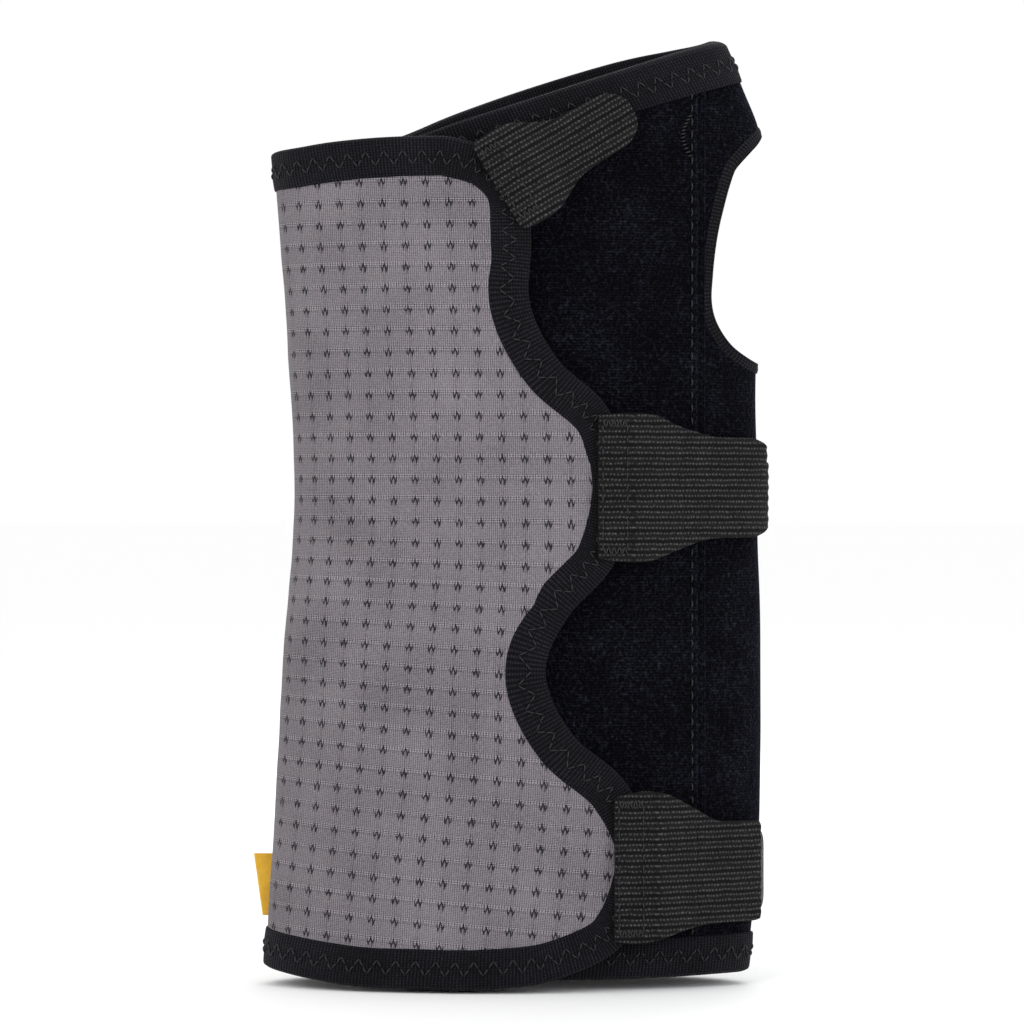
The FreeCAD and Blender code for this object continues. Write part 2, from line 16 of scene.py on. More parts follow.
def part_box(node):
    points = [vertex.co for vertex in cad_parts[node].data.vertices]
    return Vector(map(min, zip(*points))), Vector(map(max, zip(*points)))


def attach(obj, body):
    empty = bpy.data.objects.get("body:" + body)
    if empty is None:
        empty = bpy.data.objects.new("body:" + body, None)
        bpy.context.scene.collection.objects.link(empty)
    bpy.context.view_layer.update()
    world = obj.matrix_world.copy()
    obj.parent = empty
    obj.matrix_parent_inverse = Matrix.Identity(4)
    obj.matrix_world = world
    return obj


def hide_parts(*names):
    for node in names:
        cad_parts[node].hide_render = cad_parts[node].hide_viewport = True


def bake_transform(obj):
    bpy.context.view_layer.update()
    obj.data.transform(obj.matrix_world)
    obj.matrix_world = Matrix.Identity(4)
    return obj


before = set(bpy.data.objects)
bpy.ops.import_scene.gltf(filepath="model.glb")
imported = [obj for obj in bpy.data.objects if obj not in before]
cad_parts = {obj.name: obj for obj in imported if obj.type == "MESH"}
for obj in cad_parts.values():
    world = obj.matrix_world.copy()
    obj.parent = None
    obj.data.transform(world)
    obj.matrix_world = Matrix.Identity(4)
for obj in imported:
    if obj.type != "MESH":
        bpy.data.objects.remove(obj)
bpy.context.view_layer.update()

MM = 0.001
PI = math.pi
FRONT = -1
PALM = 1

# The sleeve's driving dimensions, as the frame has them: height, left x, right x, front depth.
STATIONS = np.array(
    [
        (-10.0, -56.4, 50.2, 23.5),
        (0.0, -56.2, 51.2, 23.2),
        (12.0, -55.6, 52.8, 22.8),
        (35.0, -54.2, 54.6, 22.2),
        (68.0, -52.2, 55.0, 21.4),
        (108.0, -49.8, 54.2, 20.6),
        (140.0, -51.0, 54.0, 20.4),
        (188.0, -54.5, 55.0, 20.2),
        (200.0, -55.3, 51.0, 20.2),
        (212.0, -56.0, 45.6, 20.2),
        (222.0, -56.4, 41.5, 20.2),
    ]
)
PALM_DEPTH = 21.0
LAP = 5.2  # how far the loop panel lies under the flap
FABRIC = 3.0  # the laminate's whole thickness
FACE = 1.2  # the thickness of its face cloth
BAND = 9.0  # how much of a binding shows
ULNAR_SEAM = -47.0
PALM_SEAM = 36.0
DORSAL_SEAM = 40.4
LOOP_EDGE = -26.0
TUCK = 1.6  # how far a cloth edge stops inside the tape that covers it

FLAP_TOP = ((-50.0, 186.2), (-41.0, 187.2), (-30.0, 187.9), (-20.0, 188.0), (-14.0, 187.6))
SCALLOP = (
    (-5.0, 184.6), (2.0, 177.0), (3.4, 165.0), (3.1, 151.0), (9.6, 138.4),
    (20.5, 128.0), (25.8, 112.0), (22.1, 94.0), (11.6, 81.8), (6.6, 69.5),
    (12.5, 56.3), (24.6, 45.3), (31.0, 29.5), (24.5, 10.6), (9.0, 2.2),
)
FLAP_FOOT = ((-8.0, 0.0), (-22.0, 0.0), (-35.0, 0.2), (-46.0, 1.4))
DORSAL_TOP = ((-26.0, 187.0), (-12.0, 191.8), (2.7, 196.4), (22.0, 202.6), (35.0, 206.8), (43.0, 209.4))
PALM_TOP = ((-47.0, 186.6), (-30.0, 189.9), (-14.0, 196.3), (4.0, 202.4), (25.0, 208.0), (43.0, 210.7))
THUMB_HOLE = (
    (54.6, 188.0), (51.4, 184.2), (48.6, 180.0), (45.2, 167.0),
    (43.7, 153.0), (44.6, 148.0), (46.6, 144.4), (50.0, 140.6),
)

WEB = 1.7
WRAP_GAP = 1.25
ROOT_LIFT = 1.0
STRAPS = {
    "mid": {
        "root": 18.1,
        "hinge": 26.9,
        "split": 46.0,
        "low": 99.3,
        "high": 121.5,
        "top": (
            (18.1, 126.3), (24.0, 126.9), (30.2, 126.5), (36.0, 124.0),
            (42.6, 122.0), (46.0, 121.6), (60.0, 121.5),
        ),
        "foot": (
            (18.1, 94.7), (24.0, 93.9), (29.5, 94.2), (35.5, 96.5),
            (41.0, 98.6), (46.0, 99.2), (60.0, 99.3),
        ),
    },
    "low": {
        "root": 21.6,
        "hinge": 32.2,
        "split": 46.0,
        "low": 13.8,
        "high": 36.2,
        "top": (
            (21.6, 42.3), (28.0, 43.6), (33.4, 42.7), (39.0, 39.6),
            (43.0, 37.2), (46.0, 36.4), (60.0, 36.2),
        ),
        "foot": (
            (21.6, 10.6), (26.0, 10.0), (31.0, 10.6), (36.5, 12.4),
            (41.0, 13.4), (46.0, 13.8), (60.0, 13.8),
        ),
    },
}
TOP_ORIGIN = (-4.2, 176.2)
TOP_SLANT = math.radians(31.0)
TOP_WIDTHS = ((0.0, 10.0), (2.0, 11.2), (8.5, 11.2), (13.5, 8.9), (18.0, 7.1), (24.0, 6.6), (28.6, 6.4))
TOP_END = 34.8
TOP_HINGE, TOP_SPLIT = 6.8, 19.0
TOP_LEVELS = ((0.0, -21.15), (6.8, -21.15), (14.0, -18.0), (19.0, -17.1), (27.0, -16.2), (35.4, -15.3))

MARK_PITCH = 4.7  # between rows of marks on the mesh
MARK_STEP = 5.0  # between marks along a row
PANEL_CELL = 1.6  # size of a panel's grid cells
ZIGZAG = (3.2, 6.4, 4.3)  # the bindings' stitches: nearest and farthest from the edge, and pitch
STITCH = 0.2  # thread radius
STRETCH = np.array([45.0, 1.0])  # makes (t, z) about even in millimetres
HOLE_STRETCH = (30.0, 1.0)  # the same at the thumb hole


# ---------------------------------------------------------------- the sleeve's surface


def at_height(z, column):
    """A station column, smoothly interpolated at each height z."""
    z = np.asarray(z, float)
    heights, values = STATIONS[:, 0], STATIONS[:, column]
    before = np.concatenate([[0], np.arange(len(heights) - 1)])
    after = np.concatenate([np.arange(1, len(heights)), [len(heights) - 1]])
    slope = (values[after] - values[before]) / (heights[after] - heights[before])
    i = np.clip(np.searchsorted(heights, z, side="right") - 1, 0, len(heights) - 2)
    span = heights[i + 1] - heights[i]
    s = (z - heights[i]) / span
    a = 2 * s**3 - 3 * s**2 + 1
    b = s**3 - 2 * s**2 + s
    c = s**3 - s**2
    return a * values[i] + b * slope[i] * span + (1 - a) * values[i + 1] + c * slope[i + 1] * span


def on_sleeve(t, z, out=0.0, lap=0.0):
    """The point at (t, z), out proud of the sleeve's surface. lap lowers the front half."""
    left, right, front = at_height(z, 1), at_height(z, 2), at_height(z, 3)
    half = (right - left) / 2 + out
    depth = np.where(np.sin(t) < 0, front - lap + out, PALM_DEPTH + out)
    return np.stack([(left + right) / 2 + half * np.cos(t), depth * np.sin(t), z + 0 * t], -1)


def angle_at(x, z, side):
    """t of the point that shows at (x, z) on the front or the palm. Thumb-side front is below 0."""
    left, right = at_height(z, 1), at_height(z, 2)
    share = np.clip((x - (left + right) / 2) / ((right - left) / 2), -1, 1)
    return np.arccos(share) * side


def round_angle(t):
    """Front angles from the flap's side: pi to 2 pi instead of -pi to 0."""
    return t + 2 * PI


def smooth(points, step=1.0):
    """A smooth line through the points, in even steps."""
    p = np.array(points, float)
    if len(p) == 2:
        p = np.array([p[0], (p[0] + p[1]) / 2, p[1]])
    p = np.vstack([2 * p[0] - p[1], p, 2 * p[-1] - p[-2]])
    fine = []
    for i in range(1, len(p) - 2):
        s = np.linspace(0, 1, 24, endpoint=False)[:, None]
        m0, m1 = (p[i + 1] - p[i - 1]) / 2, (p[i + 2] - p[i]) / 2
        fine.append(
            (2 * s**3 - 3 * s**2 + 1) * p[i]
            + (s**3 - 2 * s**2 + s) * m0
            + (-2 * s**3 + 3 * s**2) * p[i + 1]
            + (s**3 - s**2) * m1
        )
    fine.append(p[-2][None])
    fine = np.vstack(fine)
    return even(fine, max(2, int(length_of(fine) / step) + 1))


def length_of(line):
    return float(np.linalg.norm(np.diff(line, axis=0), axis=1).sum())


def even(line, count):
    """count points, evenly spaced along a line."""
    run = np.concatenate([[0], np.cumsum(np.linalg.norm(np.diff(line, axis=0), axis=1))])
    want = np.linspace(0, run[-1], count)
    return np.stack([np.interp(want, run, line[:, k]) for k in range(line.shape[1])], -1)


def to_angles(line, side):
    """(x, z) points of one side as (t, z)."""
    return np.stack([angle_at(line[:, 0], line[:, 1], side), line[:, 1]], -1)


def girth(t, z, lap=0.0):
    """Millimetres of surface for each radian at (t, z)."""
    return np.linalg.norm(on_sleeve(t + 0.01, z, 0, lap) - on_sleeve(t - 0.01, z, 0, lap), axis=-1) / 0.02


ARC_T = np.linspace(-PI, 2 * PI, 1201)
ARC_RADIUS = np.hypot(53 * np.sin(ARC_T), 20 * np.cos(ARC_T))
ARC_U = np.concatenate([[0], np.cumsum(ARC_RADIUS[1:] * np.diff(ARC_T))])


def cloth_u(t):
    """Distance round the sleeve, for the weave."""
    return np.interp(t, ARC_T, ARC_U) - np.interp(1.5 * PI, ARC_T, ARC_U)


def weave(t, z):
    """Weave coordinates at (t, z)."""
    return np.stack([cloth_u(t), z], -1)


def drift(points, size, seed):
    """Slow seeded variation at each point, about -1 to 1."""
    shift = Vector((seed * 7.3, seed * 3.1, seed * 5.7))
    flat = points.reshape(-1, 3) / size
    values = [noise.noise(Vector(p) + shift) for p in flat]
    return np.array(values).reshape(points.shape[:-1])


# ---------------------------------------------------------------- meshes


def make_object(name, points, faces, slot, material, uv):
    """A mesh object from millimetre points, with its weave map."""
    mesh = bpy.data.meshes.new(name)
    mesh.from_pydata((np.asarray(points) * MM).tolist(), [], faces)
    layer = mesh.uv_layers.new(name="weave")
    corner = np.empty(len(mesh.loops), np.int32)
    mesh.loops.foreach_get("vertex_index", corner)
    layer.data.foreach_set("uv", np.asarray(uv, np.float32)[corner].ravel())
    work = bmesh.new()
    work.from_mesh(mesh)
    bmesh.ops.recalc_face_normals(work, faces=work.faces)
    work.to_mesh(mesh)
    work.free()
    mesh.polygons.foreach_set("use_smooth", [True] * len(mesh.polygons))
    mesh.materials.append(material)
    obj = bpy.data.objects.new(name, mesh)
    bpy.context.scene.collection.objects.link(obj)
    return obj


def grid_quads(rows, columns, start=0):
    """Quads of a grid of points stored row by row."""
    i = np.arange(rows - 1)[:, None] * columns + np.arange(columns - 1)[None] + start
    return np.stack([i, i + 1, i + columns + 1, i + columns], -1).reshape(-1, 4).tolist()


def rim_of(rows, columns):
    """The grid's border, once round."""
    i = np.arange(rows * columns).reshape(rows, columns)
    return np.concatenate([i[0], i[1:, -1], i[-1, -2::-1], i[-2:0:-1, 0]]).tolist()


def tube(rings, sides, start=0, closed=False):
    """Faces of a tube of points stored ring by ring, with its end caps unless it is closed."""
    faces = []
    for i in range(rings if closed else rings - 1):
        p, q = start + i * sides, start + (i + 1) % rings * sides
        for k in range(sides):
            m = (k + 1) % sides
            faces.append([p + k, p + m, q + m, q + k])
    if not closed:
        faces += [[start + end * sides + k for k in range(sides)] for end in (0, rings - 1)]
    return faces


def slab(name, outer, inner, slot, material, uv):
    """A closed sheet between two grids of points."""
    rows, columns = outer.shape[:2]
    count = rows * columns
    faces = grid_quads(rows, columns) + [f[::-1] for f in grid_quads(rows, columns, count)]
    rim = rim_of(rows, columns)
    for a, b in zip(rim, rim[1:] + rim[:1]):
        faces.append([a, b, b + count, a + count])
    points = np.concatenate([outer.reshape(-1, 3), inner.reshape(-1, 3)])
    maps = np.concatenate([uv.reshape(-1, 2)] * 2)
    return make_object(name, points, faces, slot, material, maps)


def coons(low, high, left, right, columns, rows):
    """A grid of (t, z) that fills four border lines. low and high run left to right."""
    low, high = (even(line * STRETCH, columns) / STRETCH for line in (low, high))
    left, right = (even(line * STRETCH, rows) / STRETCH for line in (left, right))
    u = np.linspace(0, 1, columns)[None, :, None]
    v = np.linspace(0, 1, rows)[:, None, None]
    across = (1 - u) * left[:, None] + u * right[:, None]
    upward = (1 - v) * low[None] + v * high[None]
    corners = (1 - u) * (1 - v) * low[0] + u * (1 - v) * low[-1] + (1 - u) * v * high[0] + u * v * high[-1]
    return across + upward - corners


def heading(path, lap=0.0, closed=False):
    """A (t, z) path's millimetres for each radian, and its unit direction."""
    scale = girth(path[:, 0], path[:, 1], lap)
    around = np.roll(path, -1, 0) - np.roll(path, 1, 0) if closed else np.gradient(path, axis=0)
    run = np.stack([around[:, 0] * scale, around[:, 1]], -1)
    return scale, run / np.linalg.norm(run, axis=1)[:, None]


def lengths(path, scale):
    """Distance along a (t, z) path to each of its points."""
    steps = np.hypot(np.diff(path[:, 0]) * scale[1:], np.diff(path[:, 1]))
    return np.concatenate([[0], np.cumsum(steps)])


def inset(path, distance, lap=0.0, closed=False):
    """A (t, z) path moved in from its edge, to the right of its direction of travel."""
    scale, run = heading(path, lap, closed)
    return path + distance * np.stack([run[:, 1] / scale, -run[:, 0]], -1)


def edge_fade(rows, columns, cells):
    """0 on the border of a grid, rising to 1 within some cells of it."""
    r = np.minimum(np.arange(rows), np.arange(rows)[::-1])[:, None]
    c = np.minimum(np.arange(columns), np.arange(columns)[::-1])[None]
    s = np.clip(np.minimum(r, c) / cells, 0, 1)
    return s * s * (3 - 2 * s)


def sweep(name, path, profile, slot, material, lap=0.0, closed=False, ripple=0.1, seed=1):
    """A folded tape along a path of (t, z). profile is (distance in from the path, out from the surface)."""
    scale, run = heading(path, lap, closed)
    inward = np.stack([run[:, 1], -run[:, 0]], -1)
    rings, maps = [], []
    along = lengths(path, scale)
    middle = on_sleeve(path[:, 0], path[:, 1], 0, lap)
    wobble = drift(middle, 6.0, seed) * ripple
    for k, (d, out) in enumerate(profile):
        t = path[:, 0] + d * inward[:, 0] / scale
        z = path[:, 1] + d * inward[:, 1]
        lift = out + (wobble if out > 0.3 else 0)
        rings.append(on_sleeve(t, z, lift, lap))
        maps.append(np.stack([along, np.full(len(path), d if out > -1 else -d)], -1))
    grid = np.stack(rings, 1)
    count, size = grid.shape[:2]
    uv = np.stack(maps, 1)
    faces = tube(count, size, 0, closed)
    return make_object(name, grid.reshape(-1, 3), faces, slot, material, uv.reshape(-1, 2))


def band_profile(width, proud=0.72):
    """A puffed outer leg, a rounded fold over the edge, and a flat inner leg."""
    outer = [
        (width, 0.02),
        (width - 0.08, 0.42 * proud / 0.72),
        (width - 0.5, 0.8 * proud),
        (width * 0.72, proud * 1.05),
        (width * 0.45, proud * 0.95),
        (width * 0.2, proud * 1.02),
    ]
    bend = []
    middle, reach = -FABRIC / 2, FABRIC / 2 + proud
    for i in range(9):
        a = PI / 2 - PI * i / 8
        bend.append((1.1 - 1.1 * math.cos(a), middle + reach * math.sin(a)))
    back = -FABRIC - proud * 0.9, -FABRIC - proud * 0.8, -FABRIC + 0.1
    return outer + bend + list(zip((width * 0.5, width - 0.4, width), back))


def thread(name, runs, radius=STITCH):
    """Short stitches as one mesh. Each run is (start, end, outward direction)."""
    points, faces = [], []
    sides, rings = 6, 5
    for a, b, up in runs:
        a, b, up = np.array(a), np.array(b), np.array(up)
        size = np.linalg.norm(b - a)
        if size < 1e-6:
            continue
        along = (b - a) / size
        side = np.cross(along, up)
        side /= np.linalg.norm(side)
        lift = np.cross(side, along)
        base = len(points)
        for i in range(rings):
            s = i / (rings - 1)
            swell = 0.35 + 0.65 * math.sin(PI * s) ** 0.5
            centre = a + (b - a) * s + lift * (math.sin(PI * s) * radius * 1.5 - radius * 0.6)
            for k in range(sides):
                w = 2 * PI * k / sides
                points.append(centre + radius * swell * (side * math.cos(w) + lift * math.sin(w)))
        faces += tube(rings, sides, base)
    return make_object(name, points, faces, "thread", THREAD, np.zeros((len(points), 2)))


def zigzag(path, near, far, pitch, lap=0.0, out=0.8):
    """Zigzag stitches on a tape along a (t, z) path, between two distances from its edge."""
    scale, run = heading(path, lap)
    along = lengths(path, scale)
    stops = np.arange(1.0, along[-1] - 1.0, pitch / 2)
    runs, ends = [], []
    for i, s in enumerate(stops):
        d = near if i % 2 else far
        t, z = np.interp(s, along, path[:, 0]), np.interp(s, along, path[:, 1])
        n = np.array([np.interp(s, along, run[:, 1]), -np.interp(s, along, run[:, 0])])
        g = np.interp(s, along, scale)
        ends.append((t + d * n[0] / g, z + d * n[1]))
    for (t0, z0), (t1, z1) in zip(ends, ends[1:]):
        for s in (0.0, 0.5):
            ta, za = t0 + (t1 - t0) * s, z0 + (z1 - z0) * s
            tb, zb = t0 + (t1 - t0) * (s + 0.5), z0 + (z1 - z0) * (s + 0.5)
            runs.append(stitch_on(ta, za, tb, zb, out, lap))
    return runs


def stitch_on(t0, z0, t1, z1, out, lap):
    """One stitch between two places on the sleeve."""
    a = on_sleeve(np.array(t0), np.array(z0), out, lap)
    b = on_sleeve(np.array(t1), np.array(z1), out, lap)
    up = on_sleeve(np.array(t0), np.array(z0), out + 1, lap) - a
    return a, b, up


# ---------------------------------------------------------------- materials


class Term:
    """A number that varies over a surface, worked out by Math nodes."""

    def __init__(self, tree, socket):
        self.tree, self.socket = tree, socket

    def math(self, operation, *others):
        node = self.tree.nodes.new("ShaderNodeMath")
        node.operation = operation
        for i, value in enumerate((self,) + others):
            if isinstance(value, Term):
                self.tree.links.new(value.socket, node.inputs[i])
            else:
                node.inputs[i].default_value = value
        return Term(self.tree, node.outputs[0])

    def __add__(self, other):
        return self.math("ADD", other)

    def __sub__(self, other):
        return self.math("SUBTRACT", other)

    def __mul__(self, other):
        return self.math("MULTIPLY", other)

    def wave(self, pitch):
        """A sine of the given pitch, 0 to 1."""
        return (self * (2 * PI / pitch)).math("SINE") * 0.5 + 0.5

    def saw(self, pitch):
        """Distance from the nearest multiple of pitch, signed."""
        return ((self * (1 / pitch) + 0.5).math("FRACT") - 0.5) * pitch

    def near(self, limit, soft):
        """1 within a limit of zero."""
        return self.math("ABSOLUTE").below(limit, soft)

    def below(self, limit, soft):
        """1 well under a limit, 0 well over it."""
        node = self.tree.nodes.new("ShaderNodeMapRange")
        node.interpolation_type = "SMOOTHSTEP"
        self.tree.links.new(self.socket, node.inputs[0])
        node.inputs[1].default_value = limit - soft
        node.inputs[2].default_value = limit + soft
        node.inputs[3].default_value = 1.0
        node.inputs[4].default_value = 0.0
        return Term(self.tree, node.outputs[0])


class Cloth:
    """A material being built: weave coordinates, noise, colour, bump."""

    def __init__(
        self, name, roughness, sheen=0.0, sheen_tint=(1, 1, 1), sheen_roughness=0.5,
        metallic=0.0, specular=0.5,
    ):
        self.material = bpy.data.materials.new(name)
        self.material.use_nodes = True
        self.tree = self.material.node_tree
        self.shader = self.tree.nodes["Principled BSDF"]
        inputs = self.shader.inputs
        inputs["Roughness"].default_value = roughness
        inputs["Metallic"].default_value = metallic
        inputs["Specular IOR Level"].default_value = specular
        inputs["Sheen Weight"].default_value = sheen
        inputs["Sheen Roughness"].default_value = sheen_roughness
        inputs["Sheen Tint"].default_value = (*sheen_tint, 1)
        weave = self.tree.nodes.new("ShaderNodeUVMap")
        weave.uv_map = "weave"
        split = self.tree.nodes.new("ShaderNodeSeparateXYZ")
        self.tree.links.new(weave.outputs[0], split.inputs[0])
        self.u = Term(self.tree, split.outputs[0])
        self.v = Term(self.tree, split.outputs[1])
        self.place = self.tree.nodes.new("ShaderNodeTexCoord").outputs["Object"]

    def noise(self, size, detail=3.0):
        """Noise whose grains are about size millimetres, 0 to 1."""
        node = self.tree.nodes.new("ShaderNodeTexNoise")
        self.tree.links.new(self.place, node.inputs["Vector"])
        node.inputs["Scale"].default_value = 1 / (size * MM)
        node.inputs["Detail"].default_value = detail
        return Term(self.tree, node.outputs[0])

    def cells(self, size):
        """Distance from the middle of cells about size millimetres wide."""
        node = self.tree.nodes.new("ShaderNodeTexVoronoi")
        self.tree.links.new(self.place, node.inputs["Vector"])
        node.inputs["Scale"].default_value = 1 / (size * MM)
        return Term(self.tree, node.outputs[0])

    def colour(self, amount, *stops):
        """Base colour from a ramp over amount. Each stop is (place, colour)."""
        ramp = self.tree.nodes.new("ShaderNodeValToRGB")
        elements = ramp.color_ramp.elements
        while len(elements) < len(stops):
            elements.new(0.5)
        for element, (place, colour) in zip(elements, stops):
            element.position = place
            element.color = (*colour, 1)
        self.tree.links.new(amount.socket, ramp.inputs[0])
        self.tree.links.new(ramp.outputs[0], self.shader.inputs["Base Color"])

    def bump(self, height, depth):
        """Relief of depth millimetres."""
        node = self.tree.nodes.new("ShaderNodeBump")
        node.inputs["Distance"].default_value = depth * MM
        node.inputs["Strength"].default_value = 1.0
        self.tree.links.new(height.socket, node.inputs["Height"])
        self.tree.links.new(node.outputs[0], self.shader.inputs["Normal"])


def mesh_knit():
    """Grey warp-knit with fine ribs, dotted rows and a dark W of loops at each crossing."""
    c = Cloth("mesh_knit", 0.9, sheen=0.04, sheen_roughness=0.4, specular=0.15)
    a, b = c.u.saw(MARK_STEP), c.v.saw(MARK_PITCH)
    jitter = (c.noise(0.8) - 0.5) * 1.7
    legs = (a * (1 / 0.95)).math("FRACT") - 0.5
    tooth = legs.math("ABSOLUTE") * 2.2 - 1.1
    line = (b - tooth * 1.25 + jitter).near(0.36, 0.24)
    mark = line * a.near(0.82, 0.16)
    tail = (a - 0.3).near(0.12, 0.12) * (b + 1.2).near(0.9, 0.5)
    ribs = c.u.wave(0.47)
    courses = c.v.wave(0.36)
    row = b.near(0.42, 0.2)
    dots = row * (c.u.wave(0.62) * (c.v.wave(0.42)))
    shade = ribs * 0.2 + courses * 0.14 + c.noise(0.3) * 0.42 + c.noise(14.0, 1.0) * 0.14 + dots * 0.75 + 0.13
    column = a.near(0.12, 0.12) * c.noise(1.6)
    under = (b + 0.75).near(0.12, 0.14)
    shade = shade - row * 0.14 - under * 0.07 - column * 0.1 - tail * (c.noise(0.7) * 0.4)
    shade = (shade - 0.61) * 1.4 + 0.64
    shade = shade * (mark * -0.93 + 1.0)
    c.colour(
        shade,
        (0.0, (0.004, 0.004, 0.007)), (0.3, (0.05, 0.045, 0.052)), (0.62, (0.156, 0.14, 0.152)),
        (1.0, (0.32, 0.292, 0.312)),
    )
    dimple = (a * a + b * b).math("SQRT").below(1.1, 0.9)
    c.bump(ribs * 0.25 + courses * 0.12 + dots * 0.4 - dimple * 1.5 - mark * 0.7 - row * 0.25, 0.2)
    return c.material


def brushed_loop():
    """Near-black brushed loop pile with a faint blue cast."""
    tint = (0.5, 0.6, 1.0)
    c = Cloth("brushed_loop", 0.95, sheen=0.05, sheen_tint=tint, sheen_roughness=0.3, specular=0.05)
    fuzz = c.cells(0.75)
    pile = c.noise(0.45, 4.0)
    cloud = c.noise(9.0, 2.0)
    rows = c.v.wave(0.62)
    amount = pile * 1.0 + fuzz * 0.5 + cloud * 0.4 + rows * 0.16 - 0.63
    c.colour(
        amount,
        (0.25, (0.0006, 0.0006, 0.0012)), (0.5, (0.0028, 0.0028, 0.0052)), (0.72, (0.0105, 0.0105, 0.017)),
        (0.95, (0.03, 0.03, 0.045)),
    )
    c.bump(pile * 0.8 + fuzz * 0.8 + cloud * 0.4, 0.4)
    return c.material


def binding_tape():
    """Black knitted binding with fine ribs across its width."""
    tint = (0.85, 0.85, 1.0)
    c = Cloth("binding_tape", 0.85, sheen=0.04, sheen_tint=tint, sheen_roughness=0.4, specular=0.1)
    ribs = c.u.wave(0.78)
    rows = c.v.wave(0.6)
    grain = c.noise(0.4, 3.0)
    amount = ribs * 0.4 + rows * 0.2 + grain * 0.8 + c.noise(11.0, 1.0) * 0.3 - 0.35
    c.colour(
        amount,
        (0.2, (0.0008, 0.0008, 0.001)), (0.55, (0.0044, 0.0043, 0.0058)), (0.95, (0.021, 0.02, 0.026)),
    )
    c.bump(ribs * 0.8 + rows * 0.35 + grain * 0.5, 0.22)
    return c.material


def knitted_elastic():
    """Charcoal knitted elastic: ribs along the strap, broken into short lit loops."""
    c = Cloth("knitted_elastic", 0.8, sheen=0.03, sheen_roughness=0.4, specular=0.12)
    across = c.v + (c.noise(2.4) - 0.5) * 0.5
    rib = across.saw(1.18).near(0.26, 0.24)
    row = (c.v * (1 / 1.18) + 0.5).math("FLOOR")
    shift = row.math("MULTIPLY", 0.37)
    loop = (c.u + shift + (c.noise(1.1) - 0.5) * 1.5).saw(0.86).near(0.25, 0.2)
    major = c.v.wave(2.36)
    grain = c.noise(0.26, 4.0)
    loops = rib * loop
    amount = loops * 0.6 + grain * 0.85 + major * 0.22 + rib * 0.16 + c.noise(5.0, 2.0) * 0.26 - 0.5
    c.colour(
        amount,
        (0.1, (0.0018, 0.0018, 0.0018)), (0.42, (0.0095, 0.0095, 0.0094)), (0.8, (0.042, 0.042, 0.041)),
        (1.0, (0.085, 0.085, 0.083)),
    )
    c.bump(loops * 0.8 + rib * 0.6 + grain * 0.7, 0.3)
    return c.material


def lining_foam():
    """Black napped lining with a shallow regular grain."""
    c = Cloth("lining_foam", 0.95, sheen=0.04, sheen_roughness=0.45, specular=0.08)
    grid = c.u.wave(1.6) * c.v.wave(1.6)
    grain = c.noise(0.5, 4.0)
    c.colour(
        grid * 0.35 + grain * 0.6,
        (0.2, (0.004, 0.004, 0.005)), (0.6, (0.012, 0.012, 0.014)), (1.0, (0.035, 0.035, 0.038)),
    )
    c.bump(grain * 0.7 - grid * 0.8, 0.3)
    return c.material


def sewing_thread():
    """Black polyester thread with a twist."""
    c = Cloth("sewing_thread", 0.45, specular=0.35)
    twist = c.noise(0.35, 2.0)
    c.colour(twist, (0.3, (0.002, 0.002, 0.0025)), (0.8, (0.012, 0.012, 0.014)))
    c.bump(twist, 0.08)
    return c.material


def tag_satin():
    """Yellow woven satin."""
    c = Cloth("tag_satin", 0.45, sheen=0.2, specular=0.45)
    weft = c.v.wave(0.28)
    amount = weft * 0.35 + c.noise(2.2, 2.0) * 0.5
    c.colour(amount, (0.1, (0.6, 0.28, 0.004)), (0.5, (0.86, 0.47, 0.01)), (0.9, (1.0, 0.66, 0.04)))
    c.bump(weft, 0.08)
    return c.material


def stay_metal():
    """Brushed aluminium with fine lengthwise scratches."""
    c = Cloth("stay_metal", 0.32, metallic=1.0)
    stretch = c.tree.nodes.new("ShaderNodeMapping")
    stretch.inputs["Scale"].default_value = (9.0, 9.0, 0.35)
    c.tree.links.new(c.place, stretch.inputs[0])
    c.place = stretch.outputs[0]
    grain = c.noise(1.4, 5.0)
    c.colour(grain, (0.3, (0.5, 0.5, 0.52)), (0.7, (0.78, 0.78, 0.8)))
    c.bump(grain, 0.03)
    return c.material


def hook_plastic():
    """Rows of small moulded hooks."""
    c = Cloth("hook_plastic", 0.45, specular=0.5)
    tips = c.cells(0.9)
    c.colour(tips, (0.1, (0.03, 0.03, 0.032)), (0.7, (0.006, 0.006, 0.007)))
    c.bump(tips * -1.0, 0.5)
    return c.material


def moulded_tip():
    """Dark moulded rubber with a fine pebble."""
    c = Cloth("moulded_tip", 0.6, specular=0.4)
    pebble = c.noise(0.5, 3.0)
    c.colour(pebble, (0.3, (0.008, 0.008, 0.009)), (0.8, (0.02, 0.02, 0.022)))
    c.bump(pebble, 0.06)
    return c.material


KNIT, LOOP, TAPE, ELASTIC = mesh_knit(), brushed_loop(), binding_tape(), knitted_elastic()
FOAM, THREAD, SATIN, METAL, HOOKS, TIP = (
    lining_foam(),
    sewing_thread(),
    tag_satin(),
    stay_metal(),
    hook_plastic(),
    moulded_tip(),
)


# ---------------------------------------------------------------- the flap


